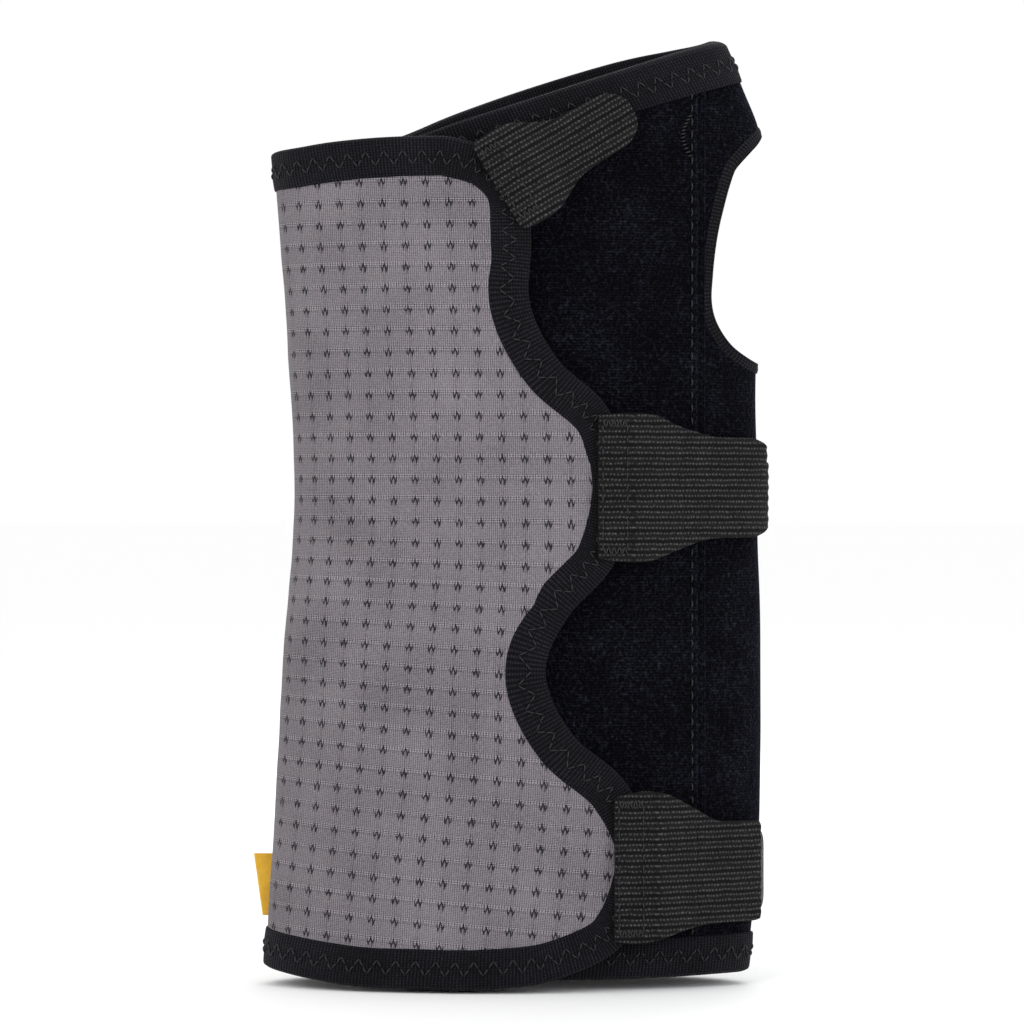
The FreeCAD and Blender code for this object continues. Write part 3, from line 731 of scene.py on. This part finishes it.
def flap_outline():
    """The flap's edge as (t, z), from the ulnar seam over the top, round the scallops and back."""
    top = [(ULNAR_SEAM, 186.4, PALM), (-52.5, 186.2, PALM)]
    seam_top = [(angle_at(x, z, side), z) for x, z, side in top]
    front = [(round_angle(angle_at(x, z, FRONT)), z) for x, z in FLAP_TOP + SCALLOP + FLAP_FOOT]
    fold_top, fold_foot = [(PI, 185.9)], [(round_angle(angle_at(-53.0, 2.4, FRONT)), 2.4), (PI, 3.0)]
    foot = [(-52.5, 2.2, PALM), (ULNAR_SEAM, 1.0, PALM)]
    seam_foot = [(angle_at(x, z, side), z) for x, z, side in foot]
    stretched = np.array(seam_top + fold_top + front + fold_foot + seam_foot) * STRETCH
    return smooth(stretched, 0.9) / STRETCH


def nearest(line, t, z):
    """The number of the line's point nearest to (t, z)."""
    return int(np.argmin(np.hypot((line[:, 0] - t) * STRETCH[0], line[:, 1] - z)))


def flap():
    """The flap and the little-finger side wrap, as one cloth in one binding."""
    outline = flap_outline()
    corner_top = nearest(outline, *chart(-1.5, 182.0))
    corner_foot = nearest(outline, *chart(20.0, 7.5))
    cloth = inset(outline, TUCK)
    high, right = cloth[: corner_top + 1], cloth[corner_top : corner_foot + 1][::-1]
    low = cloth[corner_foot:][::-1]
    ends = on_sleeve(*np.array([low[0], high[0]]).T)[:, 0]
    seam = zip(np.linspace(*ends, 40), np.linspace(low[0][1], high[0][1], 40))
    left = np.array([(float(angle_at(x, z, PALM)), z) for x, z in seam])
    left[:, 0] += 2 * PI * np.round((low[0][0] - left[:, 0]) / (2 * PI))
    left[0], left[-1] = low[0], high[0]
    grid = coons(low, high, left, right, 190, 260)
    t, z = grid[..., 0], grid[..., 1]
    base = on_sleeve(t, z)
    u = cloth_u(t)
    fall = np.clip((130 - z) / 90, 0, 1)
    v = z + 0.085 * (base[..., 0] + 10) * fall * fall * (3 - 2 * fall)
    uv = np.stack([u + 0.6 * drift(base, 30, 4), v], -1)
    fade = edge_fade(*t.shape, 16) * np.clip(np.abs(u - u[:, :1]) / 12 - 0.35, 0, 1)
    near_mark = np.hypot((uv[..., 0] / MARK_PITCH + 0.5) % 1 - 0.5, (v / MARK_PITCH + 0.5) % 1 - 0.5)
    dimple = np.exp(-((near_mark / 0.17) ** 2))
    puff = 0.35 * fade + 0.55 * fade * drift(base, 26, 2) + 0.12 * drift(base, 7, 5) - 0.16 * dimple * fade
    outer = on_sleeve(t, z, puff)
    inner = on_sleeve(t, z, -FACE)
    face = slab("flap_mesh_face", outer, inner, "knit_mesh", KNIT, uv)
    coarse = grid[::5, ::5]
    lining_uv = weave(coarse[..., 0], coarse[..., 1])
    back = on_sleeve(coarse[..., 0], coarse[..., 1], -FABRIC)
    front = on_sleeve(coarse[..., 0], coarse[..., 1], -FACE - 0.02)
    lining = slab("flap_foam_lining", front, back, "foam_lining", FOAM, lining_uv)
    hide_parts("flap_mesh", "ulnar_mesh")
    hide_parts("flap_foam", "ulnar_foam")
    tape = sweep("flap_binding", outline, band_profile(BAND), "binding", TAPE, ripple=0.16, seed=3)
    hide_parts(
        "flap_top_binding", "scallop_binding", "flap_foot_binding",
        "ulnar_top_binding", "ulnar_foot_binding",
    )
    sewn = thread("flap_binding_stitches", zigzag(outline, *ZIGZAG))
    for piece in (face, lining, tape, sewn):
        bend(piece, "palm_side", "flap", -0.055)


def chart(x, z):
    """A front point (x, z) as (t, z) on the flap."""
    return round_angle(float(angle_at(x, z, FRONT))), z


def bend(piece, fixed, moving, x):
    """The piece's placement is baked into its mesh."""
    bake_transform(piece)


# ---------------------------------------------------------------- the sleeve


def panel(name, left, right, top, foot, seed):
    """A laminated panel between two seams: its face and its lining. Lines are (t, z)."""
    top = top - (0, TUCK)
    foot = foot + (0, TUCK)
    left = np.clip(left, (-9, foot[0, 1]), (9, top[0, 1]))
    right = np.clip(right, (-9, foot[-1, 1]), (9, top[-1, 1]))
    columns = max(6, int(length_of(top * STRETCH) / PANEL_CELL))
    rows = max(6, int(length_of(left) / PANEL_CELL))
    grid = coons(foot, top, left, right, columns, rows)
    t, z = grid[..., 0], grid[..., 1]
    base = on_sleeve(t, z, 0, LAP)
    fade = edge_fade(*t.shape, 5)
    bulge = 0.3 * fade * (0.5 + drift(base, 24, seed)) + 0.1 * drift(base, 5, seed + 1) * fade
    uv = weave(t, z)
    outer, inner = on_sleeve(t, z, bulge, LAP), on_sleeve(t, z, -FACE, LAP)
    face = slab(name + "_cloth_face", outer, inner, "brushed_loop", LOOP, uv)
    c = grid[::2, ::2] if min(grid.shape[:2]) > 12 else grid
    front, back = (on_sleeve(c[..., 0], c[..., 1], out, LAP) for out in (-FACE - 0.02, -FABRIC))
    lining_uv = weave(c[..., 0], c[..., 1])
    lining = slab(name + "_cloth_lining", front, back, "foam_lining", FOAM, lining_uv)
    return face, lining


def seam_line(x, z0, z1, side, step=2.0):
    """An upright line at x, as (t, z)."""
    z = np.append(np.arange(z0, z1, step), z1)
    return np.stack([angle_at(np.full(len(z), x), z, side), z], -1)


def palm_half():
    """The palm panel, from the ulnar seam to the palm seam."""
    top = to_angles(smooth(PALM_TOP), PALM)
    seam = nearest_x(PALM_TOP, PALM_SEAM)
    cut = top[top[:, 0] >= angle_at(PALM_SEAM, seam, PALM)]
    foot = to_angles(np.array([(ULNAR_SEAM, 1.0), (-30.0, 0.6), (0.0, 0.6), (PALM_SEAM, 0.6)]), PALM)
    foot = even(foot, 60)
    left = seam_line(ULNAR_SEAM, 1.0, 186.4, PALM)
    right = seam_line(PALM_SEAM, 0.6, seam, PALM)
    face, lining = panel("palm", left, right, cut, foot, seed=2)
    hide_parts("palm_face")
    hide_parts("palm_lining")
    for piece in (face, lining):
        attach(piece, "palm_side")


def nearest_x(points, x):
    """The height of an outline at x."""
    line = smooth(points)
    return float(np.interp(x, line[:, 0], line[:, 1]))


def dorsal_half():
    """The loop panel on the back of the hand, from its free edge to the dorsal seam."""
    top_z = nearest_x(DORSAL_TOP, DORSAL_SEAM)
    line = smooth(DORSAL_TOP)
    top = to_angles(line[line[:, 0] <= DORSAL_SEAM], FRONT)
    foot = even(to_angles(np.array([(LOOP_EDGE, 2.1), (0.0, 2.1), (DORSAL_SEAM, 2.1)]), FRONT), 50)
    left = seam_line(LOOP_EDGE, 2.1, 187.0, FRONT)
    right = seam_line(DORSAL_SEAM, 2.1, top_z, FRONT)
    face, lining = panel("dorsal", left, right, top, foot, seed=5)
    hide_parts("dorsal_loop_face")
    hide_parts("dorsal_lining")
    for piece in (face, lining):
        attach(piece, "loop_side")


def hole_side():
    """Half of the thumb hole's edge in x and z, from its top to its foot on the fold."""
    line = smooth(THUMB_HOLE, 0.7)
    top = np.array([[float(at_height(189.4, 2)), 189.4]])
    foot = np.array([[float(at_height(138.4, 2)), 138.4]])
    return smooth(np.vstack([top, line[::6], foot]), 0.7)


def hole_path():
    """The thumb hole's edge once round, as (t, z)."""
    side = hole_side()
    front = to_angles(side, FRONT)
    palm = to_angles(side, PALM)[::-1]
    path = np.vstack([front, palm[1:-1]]) * HOLE_STRETCH
    loop = np.vstack([path, path[:1]])
    for _ in range(3):
        inner = (np.roll(loop[:-1], 1, 0) + 2 * loop[:-1] + np.roll(loop[:-1], -1, 0)) / 4
        loop = np.vstack([inner, inner[:1]])
    return even(loop, 190)[:-1] / HOLE_STRETCH


def inside(path, t, z):
    """Which grid points are in the closed path."""
    hit = np.zeros(t.shape, bool)
    ahead = np.roll(path, -1, 0)
    for (t0, z0), (t1, z1) in zip(path, ahead):
        if z0 == z1:
            continue
        crosses = (z0 > z) != (z1 > z)
        hit ^= crosses & (t < (t1 - t0) * (z - z0) / (z1 - z0) + t0)
    return hit


def gusset():
    """The thumb-side panel round the fold, with the thumb hole cut in it."""
    seam_palm, seam_front = nearest_x(PALM_TOP, PALM_SEAM), nearest_x(DORSAL_TOP, DORSAL_SEAM)
    columns, rows = 84, 230
    share = np.linspace(0, 1, columns)[None]
    rise = np.linspace(0, 1, rows)[:, None]
    high = seam_front + (seam_palm - seam_front) * share[0] + 1.6 * np.sin(PI * share[0])
    high, foot = high - TUCK, 3.4
    z = foot + (high[None] - foot) * rise
    start = angle_at(np.full(z.shape, DORSAL_SEAM), z, FRONT)
    stop = angle_at(np.full(z.shape, PALM_SEAM), z, PALM)
    t = start + (stop - start) * share
    hole = hole_path()
    path = inset(hole, 1.0, LAP, closed=True)
    gone = inside(path, t, z)
    quads = np.array(grid_quads(rows, columns))
    flat = gone.ravel()
    kept = quads[flat[quads].sum(1) < 3]
    used = np.zeros(rows * columns, bool)
    dropped = np.zeros(rows * columns, bool)
    used[kept.ravel()] = True
    dropped[quads[flat[quads].sum(1) >= 3].ravel()] = True
    edge = np.where((used & dropped) | (used & flat))[0]
    tf, zf = t.ravel().copy(), z.ravel().copy()
    for i in edge:
        k = np.argmin(np.hypot((path[:, 0] - tf[i]) * HOLE_STRETCH[0], path[:, 1] - zf[i]))
        tf[i], zf[i] = path[k]
    base = on_sleeve(tf, zf, 0, LAP)
    bulge = 0.25 * drift(base, 22, 8)
    layers = (
        ("gusset_face", bulge, -FACE, "brushed_loop", LOOP),
        ("gusset_lining", -FACE - 0.02, -FABRIC, "foam_lining", FOAM),
    )
    number = -np.ones(rows * columns, int)
    number[used] = np.arange(used.sum())
    quads = number[kept]
    made = []
    for name, out, inn, slot, material in layers:
        outer, inner = on_sleeve(tf, zf, out, LAP)[used], on_sleeve(tf, zf, inn, LAP)[used]
        count = len(outer)
        faces = quads.tolist() + (quads[:, ::-1] + count).tolist()
        pairs = {}
        for q in quads.tolist():
            for a, b in zip(q, q[1:] + q[:1]):
                pairs[(a, b)] = (b, a) in pairs or pairs.get((a, b), False)
                if (b, a) in pairs:
                    pairs[(b, a)] = True
                    pairs[(a, b)] = True
        faces += [[b, a, a + count, b + count] for (a, b), shared in pairs.items() if not shared]
        uv = weave(tf, zf)[used]
        both = np.concatenate([outer, inner])
        made.append(make_object(name, both, faces, slot, material, np.concatenate([uv, uv])))
    profile = band_profile(2.7, 0.42)
    edging = sweep("thumb_edging", hole, profile, "binding", TAPE, LAP, closed=True, ripple=0.12, seed=9)
    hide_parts("thumb_gusset_back", "thumb_gusset_front")
    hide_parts("thumb_edging_back", "thumb_edging_front")
    for piece in (*made, edging):
        bend(piece, "palm_side", "loop_side", 0.05)


def sleeve_edges():
    """Bindings on the hand edge, the forearm edge and the loop panel's hidden free edge."""
    palm_top = to_angles(smooth(PALM_TOP), PALM)
    dorsal_top = to_angles(smooth(DORSAL_TOP), FRONT)[::-1]
    corner = np.array([(0.16, 211.0), (0.0, 210.8), (-0.16, 210.3)])
    top = smooth(np.vstack([palm_top[::5], corner, dorsal_top[::5]]) * STRETCH, 0.9)[::-1] / STRETCH
    edge = seam_line(LOOP_EDGE, 1.6, 187.0, FRONT, 0.9)
    front = to_angles(np.array([(LOOP_EDGE, 1.5), (-8.0, 1.5), (12.0, 1.5), (32.0, 1.7), (46.0, 2.0)]), FRONT)
    palm = to_angles(np.array([(46.0, 1.4), (30.0, 0.4), (0.0, 0.0), (-30.0, 0.2), (ULNAR_SEAM, 1.0)]), PALM)
    foot = smooth(np.vstack([front, [(0.0, 1.8)], palm]) * STRETCH, 0.9)[::-1] / STRETCH
    made = {}
    for name, path, nodes, seed in (
        ("sleeve_top_binding", top, ("palm_top_binding", "dorsal_top_binding"), 11),
        ("loop_edge_binding", edge, ("dorsal_edge_binding",), 12),
        ("sleeve_foot_binding", foot, ("palm_foot_binding", "dorsal_foot_binding"), 13),
    ):
        tape = sweep(name, path, band_profile(BAND), "binding", TAPE, LAP, ripple=0.16, seed=seed)
        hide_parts(*nodes)
        sewn = thread(name + "_stitches", zigzag(path, *ZIGZAG, LAP))
        made[name] = (tape, sewn)
    for name in ("sleeve_top_binding", "sleeve_foot_binding"):
        for piece in made[name]:
            bend(piece, "palm_side", "loop_side", 0.05)
    for piece in made["loop_edge_binding"]:
        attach(piece, "loop_side")


def seams():
    """Stitch rows beside the seams, the tape over the ulnar seam, and the bar at the dorsal seam's top."""
    rows = {"loop_side": [], "palm_side": []}
    front, palm = (FRONT, "loop_side", DORSAL_SEAM, 197.0), (PALM, "palm_side", PALM_SEAM, 198.0)
    for side, body, x, top in (front, palm):
        z = 11.0
        while z < top:
            a0, a1 = float(angle_at(x - 1.5, z, side)), float(angle_at(x - 1.5, z + 2.1, side))
            rows[body].append(stitch_on(a0, z, a1, z + 2.1, 0.2, LAP))
            z += 2.9
    for k in range(12):
        z = 184.0 + k * 0.8
        bow = 1.6 * math.sin(PI * k / 11)
        a0 = float(angle_at(DORSAL_SEAM - 2.6 - bow, z, FRONT))
        a1 = float(angle_at(DORSAL_SEAM - 1.4 - bow, z + 0.4, FRONT))
        rows["loop_side"].append(stitch_on(a0, z, a1, z + 0.4, 0.4, LAP))
    for body, runs in rows.items():
        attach(thread(f"{body}_seam_stitches", runs), body)
    for name, x, side, top, body in (
        ("dorsal_seam_ridge", DORSAL_SEAM, FRONT, 200.0, "loop_side"),
        ("palm_seam_ridge", PALM_SEAM, PALM, 200.0, "palm_side"),
    ):
        path = seam_line(x + 0.6, 9.5, top, side, 1.2)
        profile = [(1.2, -0.3), (1.0, 0.22), (0.5, 0.4), (0.1, 0.3), (-0.1, -0.3)]
        ridge = sweep(name, path, profile, "brushed_loop", LOOP, LAP)
        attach(ridge, body)
    path = seam_line(ULNAR_SEAM + 3.5, 9.2, 177.5, PALM, 1.0)[::-1]
    strip = [(0.0, -0.2), (0.15, 0.45), (1.2, 0.62), (3.5, 0.7), (5.8, 0.62), (6.85, 0.45), (7.0, -0.2)]
    tape = sweep("ulnar_seam_cover", path, [(-d, out) for d, out in strip], "binding", TAPE)
    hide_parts("ulnar_seam_tape")
    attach(tape, "palm_side")
    sewn = thread("ulnar_seam_stitches", zigzag(path, -1.2, -5.8, 3.6, 0.0, 0.72))
    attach(sewn, "palm_side")


# ---------------------------------------------------------------- tag, pocket, stays


def side_tag():
    """A folded blank ribbon sewn into the ulnar seam."""
    rows, half = 28, 10
    plan = []
    for i in range(half + 1):
        plan.append((i / half, 0.42))
    for k in range(1, 8):
        a = PI * k / 8
        plan.append((1.0 + 0.05 * math.sin(a), 0.42 * math.cos(a)))
    for i in range(half, -1, -1):
        plan.append((i / half, -0.42))
    outer, inner, uv = [], [], []
    for r in range(rows):
        z = 13.5 + 14.0 * r / (rows - 1)
        reach = 7.0 + 1.9 * r / (rows - 1)
        line_o, line_i, line_u = [], [], []
        for s, y in plan:
            x = -50.2 - reach * s
            wave = 0.35 * math.sin(3.2 * s + 0.12 * z) * s
            line_o.append((x, 10.1 + y + wave, z))
            line_i.append((x + 0.12 * s, 10.1 + y * 0.55 + wave, z))
            line_u.append((s * 8, z))
        outer.append(line_o)
        inner.append(line_i)
        uv.append(line_u)
    tag = slab("side_tag_ribbon", np.array(outer), np.array(inner), "tag", SATIN, np.array(uv))
    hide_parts("side_tag")
    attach(tag, "palm_side")


def palm_pocket():
    """The stay pocket's cover on the palm, open at the hand end, with a taped mouth."""
    low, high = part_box("stay_pocket")
    tape_low, tape_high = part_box("pocket_mouth_tape")
    x0, x1 = low.x / MM + 0.6, high.x / MM - 0.6
    z0, z1 = low.z / MM, tape_high.z / MM
    top = high.y / MM
    columns, rows = 56, 150
    x = np.linspace(x0, x1, columns)[None] + np.zeros((rows, 1))
    z = np.linspace(z0, z1, rows)[:, None] + np.zeros((1, columns))
    t = angle_at(x, z, PALM)
    ground = on_sleeve(t, z)[..., 1]
    s = np.clip(np.minimum(x - x0, x1 - x) / 6.2, 0, 1)
    e = np.clip((z - z0) / 3.5, 0, 1)
    rise = (s * s * (3 - 2 * s)) * (e * e * (3 - 2 * e))
    points = np.stack([x, ground, z], -1)
    y = ground + 0.45 + (top - 0.12 - ground - 0.45) * rise + 0.12 * drift(points, 9, 21) * (1 - rise)
    outer = np.stack([x, y, z], -1)
    under = np.stack([x, np.maximum(y - 0.95, ground - 0.3), z], -1)
    uv = np.stack([x, z], -1)
    cover = slab("stay_pocket_cover", outer, under, "brushed_loop", LOOP, uv)
    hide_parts("stay_pocket")
    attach(cover, "palm_side")
    cut = z[:, 0] > tape_low.z / MM
    lift = np.array([0, 0.35, 0])
    mouth = slab("stay_pocket_mouth", outer[cut] + lift, outer[cut] - lift, "binding", TAPE, uv[cut])
    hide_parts("pocket_mouth_tape")
    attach(mouth, "palm_side")
    runs = []
    for column in (3, columns - 4):
        for r in range(2, rows - 3, 3):
            a, b = outer[r, column], outer[r + 2, column]
            runs.append((a + (0, 0.12, 0), b + (0, 0.12, 0), (0, 1, 0)))
    for column in range(3, columns - 5, 4):
        runs.append((outer[4, column] + (0, 0.12, 0), outer[4, column + 3] + (0, 0.12, 0), (0, 1, 0)))
    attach(thread("pocket_stitches", runs), "palm_side")


def side_channel():
    """The soft channel on the lining that holds the sewn-in stay."""
    low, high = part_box("side_stay_channel")
    z = np.linspace(low.z / MM, high.z / MM, 90)[:, None]
    x = np.linspace(low.x / MM, high.x / MM, 16)[None]
    z, x = z + 0 * x, x + 0 * z
    t = angle_at(x, z, FRONT)
    s = np.clip(np.minimum(x - x.min(), x.max() - x) / 2.2, 0, 1)
    out = -FABRIC - 0.35 - 1.35 * s * s * (3 - 2 * s)
    uv = np.stack([x, z], -1)
    top, foot = on_sleeve(t, z, -FABRIC + 0.1, LAP), on_sleeve(t, z, out, LAP)
    cover = slab("side_stay_sleeve", top, foot, "foam_lining", FOAM, uv)
    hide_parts("side_stay_channel", "side_stay")
    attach(cover, "loop_side")


# ---------------------------------------------------------------- straps


def root_level(x, z, lift=ROOT_LIFT):
    """y of a strap's sewn end at (x, z), lift proud of the flap."""
    left, right, front = at_height(z, 1), at_height(z, 2), at_height(z, 3)
    share = (x - (left + right) / 2) / ((right - left) / 2 + lift)
    return -(front + lift) * np.sqrt(1 - share**2)


def strap_plan(size):
    """The inside line of a strap's webbing in plan, from its sewn end to where it rolls over the side."""
    deepest = size["foot"][1][1]
    root = [(x, float(root_level(x, deepest))) for x in np.linspace(size["root"], size["hinge"], 8)]
    widest = max((size["low"], size["high"]), key=lambda z: float(at_height(z, 2)))
    left, right, front = (float(at_height(widest, k)) for k in (1, 2, 3))
    middle, half = (left + right) / 2, (right - left) / 2
    a, b = half + WRAP_GAP, front - LAP + WRAP_GAP
    start = np.array(root[-1])
    best, angle = 9.0, 0.0
    for w in np.radians(np.arange(5, 70, 0.5)):
        p = np.array((middle + a * math.cos(w), -b * math.sin(w)))
        d = np.array((a * math.sin(w), b * math.cos(w)))
        s = p - start
        miss = abs(s[0] * d[1] - s[1] * d[0]) / np.linalg.norm(d) / np.linalg.norm(s)
        if miss < best:
            best, angle = miss, w
    arc = [(middle + a * math.cos(w), -b * math.sin(w)) for w in np.linspace(angle, math.asin(0.6 / b), 30)]
    line = np.array(root + arc)
    return even(smooth(line, 0.4), int(length_of(line) / 0.55))


def plan_normals(line):
    """Outward directions of a line in plan."""
    d = np.gradient(line, axis=0)
    d /= np.linalg.norm(d, axis=1)[:, None]
    return np.stack([d[:, 1], -d[:, 0]], -1)


def webbing(name, inside_line, foot, top, rows, along0=0.0, settle=None):
    """A stretch of knitted webbing. foot and top are its edges at each station of the line.
    settle(x, z) moves it in towards the sleeve."""
    share = np.linspace(0, 1, rows)[:, None]
    z = foot[None] + (top - foot)[None] * share
    normal = plan_normals(inside_line)
    along = np.concatenate([[0], np.cumsum(np.linalg.norm(np.diff(inside_line, axis=0), axis=1))]) + along0
    away = np.minimum(share, 1 - share) * (top - foot)[None]
    soft = np.clip(away / 0.8, 0, 1)
    body = np.sqrt(1 - (1 - soft) ** 2)
    rib = 0.1 * np.cos(2 * PI * (z - z[rows // 2]) / 2.36)
    thick = (WEB - 0.1) * (0.35 + 0.65 * body) + rib * body
    low = (WEB * 0.35) * (1 - body)
    x, y = inside_line.T
    outer, inner = (np.stack([x + normal[:, 0] * out, y + normal[:, 1] * out, z], -1) for out in (thick, low))
    if settle is not None:
        sink = np.stack([0 * z, settle(x + 0 * z, z), 0 * z], -1)
        outer, inner = outer + sink, inner + sink
    away = np.append(normal, np.zeros((len(normal), 1)), 1)[None]
    outer = outer + 0.06 * drift(outer, 4, 31)[..., None] * away
    uv = np.stack([along[None] + 0 * z, z], -1)
    return slab(name, outer, inner, "elastic", ELASTIC, uv)


def tack(spot, near, far, rows, bars, count, lean):
    """Stitches of a strap's sewn end: two rows across it, and a zigzag bar of count stitches at each
    end of them. spot(u, v) is a point on the webbing, u along it and v across it."""
    runs = []
    for u in (near, far):
        v = rows[0]
        while v < rows[1]:
            runs.append((spot(u, v), spot(u, min(v + 1.9, rows[1])), (0, -1, 0)))
            v += 2.6
    for v in bars:
        for k in range(count):
            a, b = near + (far - near) * k / count, near + (far - near) * (k + 1) / count
            va, vb = (v - lean, v + lean) if k % 2 else (v + lean, v - lean)
            runs.append((spot(a, va), spot(b, vb), (0, -1, 0)))
    return runs


def side_strap(key, size):
    """A strap from the flap to the thumb side, in two lengths."""
    line = strap_plan(size)
    x, y = line[:, 0], line[:, 1]
    top = np.interp(x, *np.array(smooth(size["top"], 0.5)).T)
    foot = np.interp(x, *np.array(smooth(size["foot"], 0.5)).T)
    over = np.clip((y + 6.6) / 6.0, 0, 1) * (x > size["split"])
    inset = 6.0 - 6.0 * np.sqrt(1 - np.minimum(over, 0.985) ** 2)
    top, foot = top - inset, foot + inset
    cut = int(np.argmin(abs(x - (size["hinge"] + size["split"]) / 2)))
    deepest = size["foot"][1][1]

    def settle(px, pz):
        share = np.clip((size["hinge"] + 7 - px) / 7, 0, 1)
        return (root_level(px, pz) - root_level(px, deepest)) * share

    near = slice(cut + 1)
    first = webbing(f"strap_{key}_sewn_length", line[near], foot[near], top[near], 74, 0.0, settle)
    start = float(length_of(line[near]))
    second = webbing(f"strap_{key}_tab_length", line[cut:], foot[cut:], top[cut:], 74, start, settle)
    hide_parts(f"strap_{key}_root", f"strap_{key}_web")
    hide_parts(f"strap_{key}_tab")
    z = (size["low"] + size["high"]) / 2 * MM
    hinge, split = size["hinge"] * MM, size["split"] * MM
    hinge - 0.0015
    hinge + 0.003
    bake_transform(first)
    split - 0.004
    split + 0.004
    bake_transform(second)

    def spot(px, pz):
        return (px, float(root_level(px, pz, ROOT_LIFT + WEB - 0.02)), pz)

    low, high = float(foot[4]) + 2.2, float(top[4]) - 2.2
    return tack(spot, size["root"] + 1.0, size["root"] + 6.4, (low, high), (low, high), 9, 1.0)


def hand_strap():
    """The short slanted strap over the back of the hand."""
    half = smooth(TOP_WIDTHS, 0.5)
    round_x, round_width = TOP_WIDTHS[-1]
    turns = np.linspace(0, PI / 2 * 0.985, 16)
    tip = [(round_x + (TOP_END - round_x) * math.sin(a), round_width * math.cos(a) ** 0.8) for a in turns]
    edge = np.vstack([half, tip[1:]])
    u = np.concatenate([np.arange(0, 28, 0.5), np.array([p[0] for p in tip])])
    width = np.interp(u, edge[:, 0], edge[:, 1])
    level = np.interp(u, *np.array(smooth(TOP_LEVELS, 0.5)).T)
    line = np.stack([u, level], -1)
    cut = int(np.argmin(abs(u - (TOP_HINGE + TOP_SPLIT) / 2)))
    near = slice(cut + 1)
    first = webbing("strap_top_sewn_length", line[near], -width[near], width[near], 58)
    second = webbing("strap_top_tab_length", line[cut:], -width[cut:], width[cut:], 58, length_of(line[near]))
    for piece in (first, second):
        place_top(piece)
    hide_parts("strap_top_root", "strap_top_web")
    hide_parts("strap_top_tab")
    start, end = top_point(TOP_HINGE - 1.5), top_point(TOP_HINGE + 3.0)
    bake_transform(first)
    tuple(start)
    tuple(end)
    start, end = top_point(TOP_SPLIT - 4), top_point(TOP_SPLIT + 4)
    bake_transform(second)
    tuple(start)
    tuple(end)

    def spot(u, v):
        return top_world(u, TOP_LEVELS[0][1] - WEB - 0.02, v)

    return tack(spot, 1.2, 5.4, (-8.6, 9.0), (-8.2, 8.2), 7, 0.9)


def top_world(u, y, v):
    """A point of the hand strap's own axes, in millimetres."""
    c, s = math.cos(TOP_SLANT), math.sin(TOP_SLANT)
    return (TOP_ORIGIN[0] + u * c - v * s, y, TOP_ORIGIN[1] + u * s + v * c)


def top_point(u):
    """A point on the hand strap's middle line, in metres."""
    return tuple(k * MM for k in top_world(u, -20.0, 0.0))


def place_top(piece):
    """Turns a piece from the hand strap's own axes to its place."""
    for vertex in piece.data.vertices:
        u, y, v = (k / MM for k in vertex.co)
        vertex.co = Vector(top_world(u, y, v)) * MM


def straps():
    runs = hand_strap()
    for key, size in STRAPS.items():
        runs += side_strap(key, size)
    sewn = thread("strap_stitches", runs, 0.22)
    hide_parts("strap_bartacks")
    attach(sewn, "flap")


def carried_over():
    """Materials for the frame's own hard pieces."""
    for name in ("strap_mid_hook", "strap_low_hook", "strap_top_hook"):
        paint(name, HOOKS)
    paint("palm_stay", METAL)
    paint("palm_stay_tips", TIP)


def paint(node, material):
    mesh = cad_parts[node].data
    mesh.materials.clear()
    mesh.materials.append(material)


# ---------------------------------------------------------------- studio


def area_light(name, place, target, size, power, colour=(1, 1, 1)):
    """A round soft lamp at place, aimed at target."""
    data = bpy.data.lights.new(name, "AREA")
    data.shape = "DISK"
    data.size = size
    data.energy = power
    data.color = colour
    lamp = bpy.data.objects.new(name, data)
    lamp.location = place
    lamp.rotation_euler = (Vector(target) - Vector(place)).to_track_quat("-Z", "Y").to_euler()
    bpy.context.scene.collection.objects.link(lamp)


def studio():
    """White surroundings, a pale floor, two soft lamps and a long lens at half height."""
    scene = bpy.context.scene
    scene.view_settings.view_transform = "Standard"
    world = bpy.data.worlds.new("studio")
    world.use_nodes = True
    world.node_tree.nodes["Background"].inputs[0].default_value = (1, 1, 1, 1)
    world.node_tree.nodes["Background"].inputs[1].default_value = 1.0
    scene.world = world
    bpy.ops.mesh.primitive_plane_add(size=80.0, location=(0, 0, -0.0008))
    floor = bpy.context.object
    floor.name = "floor"
    material = bpy.data.materials.new("pale_floor")
    material.use_nodes = True
    shader = material.node_tree.nodes["Principled BSDF"]
    shader.inputs["Base Color"].default_value = (0.985, 0.985, 0.985, 1)
    shader.inputs["Roughness"].default_value = 0.9
    floor.data.materials.append(material)
    area_light("key", (-0.7, -1.1, 0.9), (0, 0, 0.1), 0.9, 5.5)
    area_light("fill", (0.9, -0.9, 0.5), (0, 0, 0.1), 0.7, 4.0, (0.9, 0.94, 1.0))
    area_light("back", (0.2, 1.2, 0.9), (0, 0, 0.12), 0.9, 5.0)
    data = bpy.data.cameras.new("camera")
    data.lens = 150
    data.sensor_width = 36
    camera = bpy.data.objects.new("camera", data)
    camera.location = (-0.0009, -0.959, 0.105)
    camera.rotation_euler = (PI / 2, 0, 0)
    scene.collection.objects.link(camera)
    scene.camera = camera


def main():
    studio()
    flap()
    palm_half()
    dorsal_half()
    gusset()
    sleeve_edges()
    seams()
    side_tag()
    palm_pocket()
    side_channel()
    straps()
    carried_over()


main()
